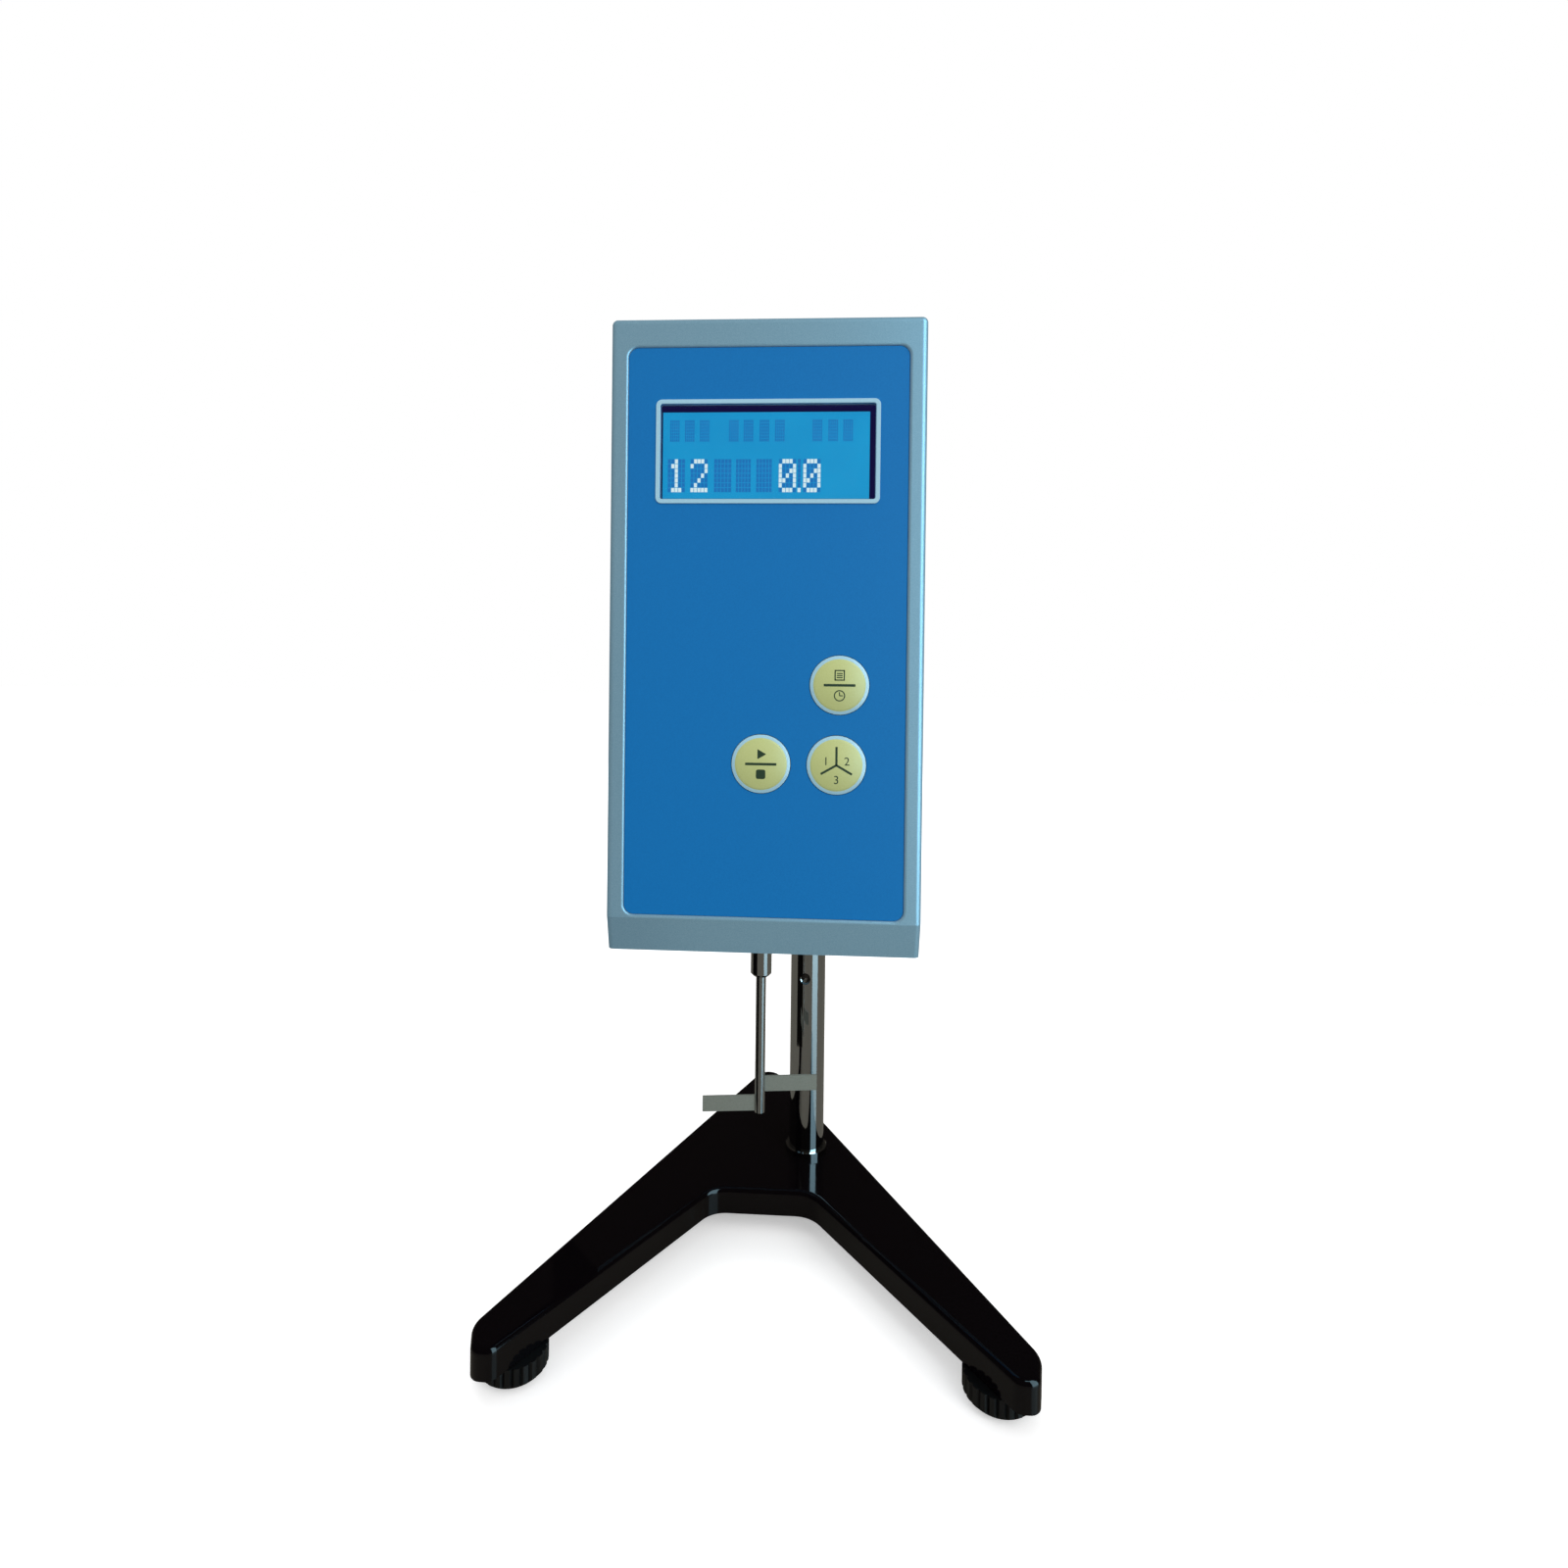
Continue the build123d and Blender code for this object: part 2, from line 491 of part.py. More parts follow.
with BuildPart() as front_shell:
    with BuildSketch(Plane.YZ):
        with BuildLine():
            Polyline((SHELL_SPLIT, HEAD_BOTTOM), (HEAD_FRONT + CHIN_SETBACK, HEAD_BOTTOM),
                     (HEAD_FRONT, chin_top), (HEAD_FRONT, head_top), (SHELL_SPLIT, head_top), close=True)
        make_face()
    extrude(amount=shell_half, both=True)
    side_edges = front_shell.edges().filter_by(lambda e: abs(abs(e.center().X) - shell_half) < 0.01)
    front_sides = side_edges.filter_by(lambda e: e.center().Y < HEAD_FRONT + CHIN_SETBACK)
    top_edges = front_shell.edges().filter_by(lambda e: e.center().Z > head_top - 0.01)
    rounded_top = top_edges.filter_by(lambda e: e.center().Y < SHELL_SPLIT - 0.01)
    fillet(front_sides + rounded_top, SHELL_EDGE_RADIUS)
    with BuildSketch(Plane.YZ):
        with BuildLine():
            Polyline((SHELL_SPLIT, HEAD_BOTTOM), (shell_inside + CHIN_SETBACK, HEAD_BOTTOM),
                     (shell_inside, chin_top), (shell_inside, head_top - SHELL_WALL),
                     (SHELL_SPLIT, head_top - SHELL_WALL), close=True)
        make_face()
    extrude(amount=inner_half, both=True, mode=Mode.SUBTRACT)
    with BuildSketch(front_plane(shell_inside)):
        with Locations(*display_posts):
            Circle(DISPLAY_POST_RADIUS)
    extrude(amount=shell_inside - module_back)
    with BuildSketch(front_plane(shell_inside)):
        with Locations(*key_posts):
            Circle(KEY_POST_RADIUS)
    extrude(amount=shell_inside - key_board_front)
    with BuildSketch(front_plane(HEAD_FRONT)):
        with Locations((0, panel_middle)):
            RectangleRounded(PANEL_WIDTH + 2 * PANEL_GAP, panel_top - panel_bottom + 2 * PANEL_GAP,
                             PANEL_RADIUS)
    extrude(amount=-PANEL_RECESS, mode=Mode.SUBTRACT)
    mouth_edges = front_shell.edges().filter_by(lambda e: abs(e.center().Y - HEAD_FRONT) < 0.01)
    mouth_edges = mouth_edges.filter_by(lambda e: abs(e.center().X) < shell_half - SHELL_EDGE_RADIUS - 1)
    mouth_edges = mouth_edges.filter_by(lambda e: chin_top + 0.5 < e.center().Z < panel_top + 1)
    fillet(mouth_edges, PANEL_LIP_RADIUS)
    with BuildSketch(front_plane(HEAD_FRONT)):
        with Locations((0, window_z)):
            RectangleRounded(WINDOW_WIDTH, WINDOW_HEIGHT, WINDOW_RADIUS)
        for key_x, key_drop in KEY_POINTS.values():
            with Locations((key_x, head_top - key_drop)):
                Circle(KEY_STEM_RADIUS + KEY_STEM_GAP)
    extrude(amount=-SHELL_WALL - 0.5, mode=Mode.SUBTRACT)
    with BuildSketch(Plane.XY.offset(plate_top)):
        with Locations((-plate_boss_x, plate_screw_front), (plate_boss_x, plate_screw_front)):
            Rectangle(plate_boss_width, 2 * BOSS_RADIUS)
        with Locations((-screw_x, plate_screw_front), (screw_x, plate_screw_front)):
            Circle(SCREW_RADIUS + SEAT, mode=Mode.SUBTRACT)
    extrude(amount=PLATE_BOSS_HEIGHT)
front_shell.part.label = "front_shell"
export_step(front_shell.part, "parts/front_shell.step")

clamp_z = plate_top + CLAMP_BLOCK_HEIGHT / 2
with BuildPart() as rear_cover:
    with BuildSketch(Plane.YZ):
        with BuildLine():
            Polyline((SHELL_SPLIT, HEAD_BOTTOM), (head_back, HEAD_BOTTOM), (head_back, head_top),
                     (SHELL_SPLIT, head_top), close=True)
        make_face()
    extrude(amount=shell_half, both=True)
    back_edges = rear_cover.edges().filter_by(lambda e: e.center().Y > head_back - 0.01)
    top_sides = rear_cover.edges().filter_by(Axis.Y).filter_by(lambda e: e.center().Z > head_top - 0.01)
    fillet(back_edges + top_sides, SHELL_EDGE_RADIUS)
    with BuildSketch(Plane.YZ):
        with BuildLine():
            Polyline((SHELL_SPLIT, HEAD_BOTTOM), (cover_inside, HEAD_BOTTOM),
                     (cover_inside, head_top - SHELL_WALL), (SHELL_SPLIT, head_top - SHELL_WALL), close=True)
        make_face()
    extrude(amount=inner_half, both=True, mode=Mode.SUBTRACT)
    with BuildSketch(front_plane(chassis_back)):
        with Locations(*cover_screw_points):
            Circle(BOSS_RADIUS)
    extrude(amount=chassis_back - cover_inside)
    with BuildSketch(Plane.XY.offset(plate_top)):
        with Locations((-plate_boss_x, plate_screw_back), (plate_boss_x, plate_screw_back)):
            Rectangle(plate_boss_width, 2 * BOSS_RADIUS)
        with Locations((-screw_x, plate_screw_back), (screw_x, plate_screw_back)):
            Circle(SCREW_RADIUS + SEAT, mode=Mode.SUBTRACT)
    extrude(amount=PLATE_BOSS_HEIGHT)
    with BuildSketch(front_plane(head_back)):
        with Locations(*cover_screw_points):
            Circle(SCREW_RADIUS + SEAT)
        with Locations((COLUMN_X, clamp_z)):
            Circle(CLAMP_STUD_RADIUS + 2 * FREE)
        with Locations((SOCKET_X, JACK_Z)):
            Circle(JACK_BARREL_RADIUS + SEAT)
        with Locations((SOCKET_X, SERIAL_Z)):
            Rectangle(SERIAL_BODY_WIDTH + 2 * SEAT, SERIAL_BODY_HEIGHT + 2 * SEAT)
        with Locations((SOCKET_X, SWITCH_Z)):
            Rectangle(SWITCH_WIDTH + 2 * (SWITCH_WALL + SEAT), SWITCH_HEIGHT + 2 * (SWITCH_WALL + SEAT))
    extrude(amount=head_back - chassis_back, mode=Mode.SUBTRACT)
rear_cover.part.label = "rear_cover"
export_step(rear_cover.part, "parts/rear_cover.step")

# Long screws draw the rear cover against the chassis plate.
with BuildPart() as rear_screws:
    with BuildSketch(front_plane(head_back)):
        with Locations(*cover_screw_points):
            Circle(SCREW_HEAD_RADIUS)
    extrude(amount=-SCREW_HEAD_HEIGHT)
    chamfer(rear_screws.edges().filter_by(lambda e: e.center().Y > head_back + 0.01), SCREW_HEAD_CHAMFER)
    with BuildSketch(front_plane(head_back)):
        with Locations(*cover_screw_points):
            Circle(SCREW_RADIUS)
    extrude(amount=head_back - CHASSIS_Y + 1)
rear_screws.part.label = "rear_screws"
export_step(rear_screws.part, "parts/rear_screws.step")

plate_front = shell_inside + CHIN_SETBACK + PLATE_GAP
plate_back = cover_inside - PLATE_GAP
plate_half = inner_half - PLATE_GAP
plate_screw_points = [(side * screw_x, y) for side in (-1, 1) for y in (plate_screw_front, plate_screw_back)]
with BuildPart() as bottom_plate:
    with BuildSketch(Plane.XY.offset(HEAD_BOTTOM)):
        with Locations((0, (plate_front + plate_back) / 2)):
            Rectangle(2 * plate_half, plate_back - plate_front)
        with Locations((SPINDLE_X, SPINDLE_Y)):
            Circle(CHUCK_RADIUS + 4 * FREE, mode=Mode.SUBTRACT)
        with Locations((COLUMN_X, COLUMN_Y)):
            Circle(COLUMN_RADIUS + 2 * FREE, mode=Mode.SUBTRACT)
        with Locations(*plate_screw_points):
            Circle(SCREW_RADIUS + SEAT, mode=Mode.SUBTRACT)
    extrude(amount=PLATE_THICKNESS)
    with BuildSketch(Plane.XY.offset(HEAD_BOTTOM)):
        with Locations(*plate_screw_points):
            Circle(SCREW_HEAD_RADIUS + SEAT)
    extrude(amount=SCREW_HEAD_HEIGHT, mode=Mode.SUBTRACT)
bottom_plate.part.label = "bottom_plate"
export_step(bottom_plate.part, "parts/bottom_plate.step")

with BuildPart() as bottom_screws:
    with BuildSketch(Plane.XY.offset(HEAD_BOTTOM)):
        with Locations(*plate_screw_points):
            Circle(SCREW_HEAD_RADIUS)
    extrude(amount=SCREW_HEAD_HEIGHT)
    with BuildSketch(Plane.XY.offset(HEAD_BOTTOM)):
        with Locations(*plate_screw_points):
            Circle(SCREW_RADIUS)
    extrude(amount=PLATE_SCREW_LENGTH)
bottom_screws.part.label = "bottom_screws"
export_step(bottom_screws.part, "parts/bottom_screws.step")

# ======== front panel, display and keys ========
with BuildPart() as front_overlay:
    with BuildSketch(front_plane(panel_floor)):
        with Locations((0, panel_middle)):
            RectangleRounded(PANEL_WIDTH, panel_top - panel_bottom, PANEL_RADIUS)
        with Locations((0, window_z)):
            RectangleRounded(WINDOW_WIDTH, WINDOW_HEIGHT, WINDOW_RADIUS, mode=Mode.SUBTRACT)
        for key_x, key_drop in KEY_POINTS.values():
            with Locations((key_x, head_top - key_drop)):
                Circle(KEY_RADIUS + KEY_GAP, mode=Mode.SUBTRACT)
    extrude(amount=PANEL_THICKNESS)
front_overlay.part.label = "front_overlay"
export_step(front_overlay.part, "parts/front_overlay.step")

with BuildPart() as display_frame:
    with BuildSketch(front_plane(panel_face)):
        with Locations((0, window_z)):
            RectangleRounded(WINDOW_WIDTH + 2 * FRAME_BAND, WINDOW_HEIGHT + 2 * FRAME_BAND, FRAME_RADIUS)
            RectangleRounded(WINDOW_WIDTH, WINDOW_HEIGHT, WINDOW_RADIUS, mode=Mode.SUBTRACT)
    extrude(amount=FRAME_PROUD)
    chamfer(display_frame.faces().sort_by(Axis.Y)[0].edges(), FRAME_CHAMFER)
display_frame.part.label = "display_frame"
export_step(display_frame.part, "parts/display_frame.step")

with BuildPart() as display_pane:
    with BuildSketch(front_plane(shell_inside)):
        with Locations((0, window_z)):
            RectangleRounded(WINDOW_WIDTH + 2 * PANE_LAP, WINDOW_HEIGHT + 2 * PANE_LAP, WINDOW_RADIUS)
    extrude(amount=-PANE_THICKNESS)
display_pane.part.label = "display_pane"
export_step(display_pane.part, "parts/display_pane.step")

glass_x = GLASS_SHIFT
glass_z = window_z + GLASS_SHIFT
glass_recess = GLASS_THICKNESS + FREE
with BuildPart() as display_module:
    with BuildSketch(front_plane(module_front)):
        with Locations((0, window_z)):
            RectangleRounded(2 * module_half, GLASS_HEIGHT + 2 * MODULE_RIM, WINDOW_RADIUS)
    extrude(amount=-MODULE_DEPTH)
    with BuildSketch(front_plane(module_front)):
        with Locations((glass_x, glass_z)):
            Rectangle(GLASS_WIDTH + 2 * SEAT, GLASS_HEIGHT + 2 * SEAT)
    extrude(amount=-glass_recess, mode=Mode.SUBTRACT)
display_module.part.label = "display_module"
export_step(display_module.part, "parts/display_module.step")

with BuildPart() as display_glass:
    with BuildSketch(front_plane(module_front + glass_recess)):
        with Locations((glass_x, glass_z)):
            Rectangle(GLASS_WIDTH, GLASS_HEIGHT)
    extrude(amount=GLASS_THICKNESS)
display_glass.part.label = "display_glass"
export_step(display_glass.part, "parts/display_glass.step")

with BuildPart() as display_board:
    with BuildSketch(front_plane(module_back)):
        with Locations((0, window_z)):
            Rectangle(2 * module_half + 14, GLASS_HEIGHT + 2 * MODULE_RIM)
    extrude(amount=-BOARD_THICKNESS)
display_board.part.label = "display_board"
export_step(display_board.part, "parts/display_board.step")

key_back = panel_floor - KEY_TRAVEL - 0.2
key_face = key_back - KEY_THICKNESS
stem_end = shell_inside + 0.2
switch_top = stem_end + KEY_TRAVEL + 0.1
with BuildPart() as key_board:
    with BuildSketch(front_plane(key_board_front)):
        with Locations(((key_board_left + key_board_right) / 2, (key_board_low + key_board_high) / 2)):
            Rectangle(key_board_right - key_board_left, key_board_high - key_board_low)
    extrude(amount=-BOARD_THICKNESS)
    with BuildSketch(front_plane(key_board_front)):
        for key_x, key_drop in KEY_POINTS.values():
            with Locations((key_x, head_top - key_drop)):
                Rectangle(6, 6)
    extrude(amount=key_board_front - switch_top)
key_board.part.label = "key_board"
export_step(key_board.part, "parts/key_board.step")

for place, (key_x, key_drop) in KEY_POINTS.items():
    key_z = head_top - key_drop
    face_radius = KEY_RADIUS - KEY_RIM_WIDTH
    with BuildPart() as key:
        with BuildSketch(Plane.XY.offset(key_z)):
            with BuildLine():
                Polyline((key_x, key_face - KEY_CROWN), (key_x + face_radius - KEY_SLOPE, key_face - KEY_CROWN),
                         (key_x + face_radius, key_face), (key_x + KEY_RADIUS - KEY_CHAMFER, key_face),
                         (key_x + KEY_RADIUS, key_face + KEY_CHAMFER), (key_x + KEY_RADIUS, key_back),
                         (key_x + KEY_STEM_RADIUS, key_back), (key_x + KEY_STEM_RADIUS, stem_end),
                         (key_x, stem_end), close=True)
            make_face()
        revolve(axis=Axis((key_x, 0, key_z), (0, 1, 0)))
    key.part.label = f"key_{place}"
    export_step(key.part, f"parts/key_{place}.step")

# ======== chassis plate, main board ========
chassis_top = head_top - SHELL_WALL - 1
board_posts = [(side * BOARD_POST_X, z) for side in (-1, 1) for z in (board_post_low, board_post_high)]
with BuildPart() as chassis_plate:
    with BuildSketch(front_plane(chassis_back)):
        with Locations((0, (plate_top + chassis_top) / 2)):
            Rectangle(2 * plate_half, chassis_top - plate_top)
        with Locations(*cover_screw_points):
            Circle(SCREW_RADIUS + SEAT, mode=Mode.SUBTRACT)
    extrude(amount=CHASSIS_THICKNESS)
    with BuildSketch(Plane.XY.offset(plate_top)):
        with Locations((0, CHASSIS_Y - CHASSIS_FOOT / 2)):
            Rectangle(plate_half, CHASSIS_FOOT)
    extrude(amount=CHASSIS_THICKNESS)
    with BuildSketch(Plane.XY.offset(plate_top)):
        for side in (-1, 1):
            with Locations((side * (plate_half - CHASSIS_THICKNESS / 2), chassis_back + CHASSIS_RETURN / 2)):
                Rectangle(CHASSIS_THICKNESS, CHASSIS_RETURN)
    extrude(amount=chassis_top - plate_top)
    with BuildSketch(front_plane(CHASSIS_Y)):
        with Locations(*board_posts):
            Circle(BOARD_POST_RADIUS)
    extrude(amount=BOARD_POST_LENGTH)
chassis_plate.part.label = "chassis_plate"
export_step(chassis_plate.part, "parts/chassis_plate.step")

board_back = CHASSIS_Y - BOARD_POST_LENGTH
with BuildPart() as main_board:
    with BuildSketch(front_plane(board_back)):
        with Locations((0, (board_post_low + board_post_high) / 2)):
            Rectangle(2 * (BOARD_POST_X + POST_INSET), board_post_high - board_post_low + 2 * POST_INSET)
    extrude(amount=BOARD_THICKNESS)
    with BuildSketch(front_plane(board_back - BOARD_THICKNESS)):
        with Locations((-CHIP_X, board_post_low + CHIP_RISE), (CHIP_X, board_post_low + CHIP_RISE)):
            Rectangle(CHIP_SIZE, CHIP_SIZE)
        with Locations((-CAPACITOR_X, board_post_low + CHIP_SIZE), (CAPACITOR_X, board_post_low + CHIP_SIZE)):
            Circle(CAPACITOR_RADIUS)
    extrude(amount=CHIP_HEIGHT)
main_board.part.label = "main_board"
export_step(main_board.part, "parts/main_board.step")

# ======== clamp on the column ========
block_top = plate_top + CLAMP_BLOCK_HEIGHT
block_back = cover_inside - 2.0
bush_outer = COLUMN_RADIUS + RUNNING + BUSH_WALL
pad_back = COLUMN_Y + COLUMN_RADIUS + RUNNING + CLAMP_PAD_LENGTH
pad_room = pad_back + CLAMP_TRAVEL + FREE
with BuildPart() as clamp_block:
    with BuildSketch(Plane.XY.offset(plate_top)):
        with Locations((COLUMN_X, (chassis_back + block_back) / 2)):
            RectangleRounded(CLAMP_BLOCK_WIDTH, block_back - chassis_back, 3)
    extrude(amount=CLAMP_BLOCK_HEIGHT)
    turn_profile(
        [(0, plate_top), (bush_outer + RUNNING, plate_top), (bush_outer + RUNNING, plate_top + BUSH_LENGTH),
         (COLUMN_RADIUS + 2 * FREE, plate_top + BUSH_LENGTH),
         (COLUMN_RADIUS + 2 * FREE, block_top - BUSH_LENGTH),
         (bush_outer + RUNNING, block_top - BUSH_LENGTH), (bush_outer + RUNNING, block_top), (0, block_top)],
        COLUMN_X, COLUMN_Y, mode=Mode.SUBTRACT)
    with BuildSketch(front_plane(COLUMN_Y)):
        with Locations((COLUMN_X, clamp_z)):
            Circle(CLAMP_PAD_RADIUS + FREE)
    extrude(amount=COLUMN_Y - pad_room, mode=Mode.SUBTRACT)
    with BuildSketch(front_plane(COLUMN_Y)):
        with Locations((COLUMN_X, clamp_z)):
            Circle(CLAMP_STUD_RADIUS + RUNNING)
    extrude(amount=COLUMN_Y - head_back, mode=Mode.SUBTRACT)
clamp_block.part.label = "clamp_block"
export_step(clamp_block.part, "parts/clamp_block.step")

for place, bush_bottom in (("lower", plate_top), ("upper", block_top - BUSH_LENGTH)):
    with BuildPart() as bush:
        turn_profile(
            [(COLUMN_RADIUS + RUNNING, bush_bottom), (bush_outer, bush_bottom),
             (bush_outer, bush_bottom + BUSH_LENGTH), (COLUMN_RADIUS + RUNNING, bush_bottom + BUSH_LENGTH)],
            COLUMN_X, COLUMN_Y)
    bush.part.label = f"{place}_bush"
    export_step(bush.part, f"parts/{place}_bush.step")

# The pad is hollowed to the column, so that the screw holds it without marking it.
with BuildPart() as clamp_pad:
    with BuildSketch(front_plane(pad_back)):
        with Locations((COLUMN_X, clamp_z)):
            Circle(CLAMP_PAD_RADIUS)
    extrude(amount=CLAMP_PAD_LENGTH + 1.4)
    with BuildSketch(Plane.XY.offset(plate_top)):
        with Locations((COLUMN_X, COLUMN_Y)):
            Circle(COLUMN_RADIUS + RUNNING)
    extrude(amount=CLAMP_BLOCK_HEIGHT, mode=Mode.SUBTRACT)
clamp_pad.part.label = "clamp_pad"
export_step(clamp_pad.part, "parts/clamp_pad.step")

knob_front = head_back + CLAMP_TRAVEL + 2 * FREE
grip_front = knob_front + CLAMP_NECK_LENGTH
grip_back = grip_front + CLAMP_GRIP_LENGTH
knob_bore_end = (grip_front + grip_back) / 2
with BuildPart() as clamp_stud:
    with BuildSketch(front_plane(pad_back)):
        with Locations((COLUMN_X, clamp_z)):
            Circle(CLAMP_STUD_RADIUS)
    extrude(amount=pad_back - knob_bore_end)
clamp_stud.part.label = "clamp_stud"
export_step(clamp_stud.part, "parts/clamp_stud.step")

with BuildPart() as clamp_knob:
    with BuildSketch(front_plane(knob_front)):
        with Locations((COLUMN_X, clamp_z)):
            Circle(CLAMP_KNOB_NECK)
    extrude(amount=-CLAMP_NECK_LENGTH)
    with BuildSketch(front_plane(grip_front)):
        with Locations((COLUMN_X, clamp_z)):
            Circle(CLAMP_KNOB_RADIUS)
            with PolarLocations(CLAMP_FLUTE_CENTRE, CLAMP_KNOB_LOBES):
                Circle(CLAMP_FLUTE_RADIUS, mode=Mode.SUBTRACT)
    extrude(amount=-CLAMP_GRIP_LENGTH)
    chamfer(clamp_knob.faces().sort_by(Axis.Y)[-1].edges(), CLAMP_KNOB_CHAMFER)
    with BuildSketch(front_plane(knob_front)):
        with Locations((COLUMN_X, clamp_z)):
            Circle(CLAMP_STUD_RADIUS + SEAT)
    extrude(amount=knob_front - knob_bore_end, mode=Mode.SUBTRACT)
clamp_knob.part.label = "clamp_knob"
export_step(clamp_knob.part, "parts/clamp_knob.step")

# ======== sockets and switch on the back ========
with BuildPart() as dc_jack:
    with BuildSketch(front_plane(head_back)):
        with Locations((SOCKET_X, JACK_Z)):
            Circle(JACK_FLANGE_RADIUS)
    extrude(amount=-JACK_FLANGE_THICKNESS)
    with BuildSketch(front_plane(head_back)):
        with Locations((SOCKET_X, JACK_Z)):
            Circle(JACK_BARREL_RADIUS)
    extrude(amount=JACK_LENGTH)
    with BuildSketch(front_plane(head_back + JACK_FLANGE_THICKNESS)):
        with Locations((SOCKET_X, JACK_Z)):
            Circle(JACK_BORE_RADIUS)
            Circle(JACK_PIN_RADIUS, mode=Mode.SUBTRACT)
    extrude(amount=JACK_BORE_DEPTH, mode=Mode.SUBTRACT)
dc_jack.part.label = "dc_jack"
export_step(dc_jack.part, "parts/dc_jack.step")

with BuildPart() as serial_port:
    with BuildSketch(front_plane(head_back)):
        with Locations((SOCKET_X, SERIAL_Z)):
            RectangleRounded(SERIAL_FLANGE_WIDTH, SERIAL_FLANGE_HEIGHT, SERIAL_CORNER)
    extrude(amount=-SERIAL_FLANGE)
    with BuildSketch(front_plane(head_back + SERIAL_FLANGE)):
        with Locations((SOCKET_X, SERIAL_Z)):
            Trapezoid(SERIAL_SHELL_WIDTH, SERIAL_SHELL_HEIGHT, SERIAL_SLANT, align=(Align.CENTER, Align.CENTER))
    extrude(amount=-SERIAL_PROUD)
    shell_corners = serial_port.edges().filter_by(Axis.Y).filter_by(lambda e: e.length > SERIAL_PROUD - 0.1)
    fillet(shell_corners, SERIAL_CORNER)
    with BuildSketch(front_plane(head_back)):
        with Locations((SOCKET_X, SERIAL_Z)):
            Rectangle(SERIAL_BODY_WIDTH, SERIAL_BODY_HEIGHT)
    extrude(amount=SERIAL_DEPTH)
serial_port.part.label = "serial_port"
export_step(serial_port.part, "parts/serial_port.step")

pivot_y = head_back - ROCKER_PIVOT_DEPTH
with BuildPart() as switch_housing:
    with BuildSketch(front_plane(head_back)):
        with Locations((SOCKET_X, SWITCH_Z)):
            RectangleRounded(SWITCH_WIDTH + 2 * (SWITCH_WALL + SWITCH_RIM),
                             SWITCH_HEIGHT + 2 * (SWITCH_WALL + SWITCH_RIM), 1)
    extrude(amount=-SWITCH_RIM_THICKNESS)
    with BuildSketch(front_plane(head_back)):
        with Locations((SOCKET_X, SWITCH_Z)):
            Rectangle(SWITCH_WIDTH + 2 * SWITCH_WALL, SWITCH_HEIGHT + 2 * SWITCH_WALL)
    extrude(amount=SWITCH_DEPTH)
    with BuildSketch(front_plane(head_back + SWITCH_RIM_THICKNESS)):
        with Locations((SOCKET_X, SWITCH_Z)):
            Rectangle(SWITCH_WIDTH, SWITCH_HEIGHT)
    extrude(amount=SWITCH_DEPTH, mode=Mode.SUBTRACT)
    with BuildSketch(Plane.YZ.offset(SOCKET_X)):
        with Locations((pivot_y, SWITCH_Z)):
            Circle(ROCKER_PIN_RADIUS + RUNNING)
    extrude(amount=SWITCH_WIDTH / 2 + SWITCH_WALL / 2, both=True, mode=Mode.SUBTRACT)
switch_housing.part.label = "switch_housing"
export_step(switch_housing.part, "parts/switch_housing.step")

tilt = math.radians(ROCKER_TILT)
rocker_plane = Plane(origin=(SOCKET_X, pivot_y, SWITCH_Z), x_dir=(0, math.cos(tilt), math.sin(tilt)),
                     z_dir=(1, 0, 0))
with BuildPart() as switch_rocker:
    with BuildSketch(rocker_plane):
        with BuildLine():
            Polyline((ROCKER_FACE, -ROCKER_HALF), (ROCKER_FACE - ROCKER_DIP, 0), (ROCKER_FACE, ROCKER_HALF),
                     (-ROCKER_BACK, ROCKER_BACK_HALF), (-ROCKER_BACK, -ROCKER_BACK_HALF), close=True)
        make_face()
    extrude(amount=SWITCH_WIDTH / 2 - FREE, both=True)
    with BuildSketch(Plane.YZ.offset(SOCKET_X)):
        with Locations((pivot_y, SWITCH_Z)):
            Circle(ROCKER_PIN_RADIUS)
    extrude(amount=SWITCH_WIDTH / 2 + SWITCH_WALL / 2 - RUNNING, both=True)
switch_rocker.part.label = "switch_rocker"
export_step(switch_rocker.part, "parts/switch_rocker.step")

# ======== motor, torque spring and spindle ========
housing_top = plate_top + HOUSING_HEIGHT
bearing_seats = (plate_top + 1.5, housing_top - BEARING_WIDTH - 0.5)
output_disc_z = housing_top + 3.0
spring_bottom = output_disc_z + DISC_THICKNESS + 1.2
spring_top = spring_bottom + SPRING_HEIGHT
input_disc_z = spring_top + 1.0
hub_top = input_disc_z + DISC_THICKNESS + 5.0
bracket_bottom = hub_top + 5.0
bracket_top = bracket_bottom + MOTOR_BRACKET_THICKNESS
shaft_end = bracket_top + INPUT_SHAFT_REACH
gearbox_top = bracket_top + GEARBOX_HEIGHT
motor_top = gearbox_top + MOTOR_HEIGHT

with BuildPart() as bearing_housing:
    turn_profile(
        [(HOUSING_BORE_RADIUS, plate_top), (FLANGE_RADIUS, plate_top),
         (FLANGE_RADIUS, plate_top + FLANGE_THICKNESS),
         (HOUSING_RADIUS, plate_top + FLANGE_THICKNESS), (HOUSING_RADIUS, housing_top),
         (BEARING_RADIUS + SEAT, housing_top), (BEARING_RADIUS + SEAT, bearing_seats[1]),
         (HOUSING_BORE_RADIUS, bearing_seats[1]), (HOUSING_BORE_RADIUS, bearing_seats[0] + BEARING_WIDTH),
         (BEARING_RADIUS + SEAT, bearing_seats[0] + BEARING_WIDTH), (BEARING_RADIUS + SEAT, bearing_seats[0]),
         (HOUSING_BORE_RADIUS, bearing_seats[0])],
        SPINDLE_X, SPINDLE_Y)
bearing_housing.part.label = "bearing_housing"
export_step(bearing_housing.part, "parts/bearing_housing.step")

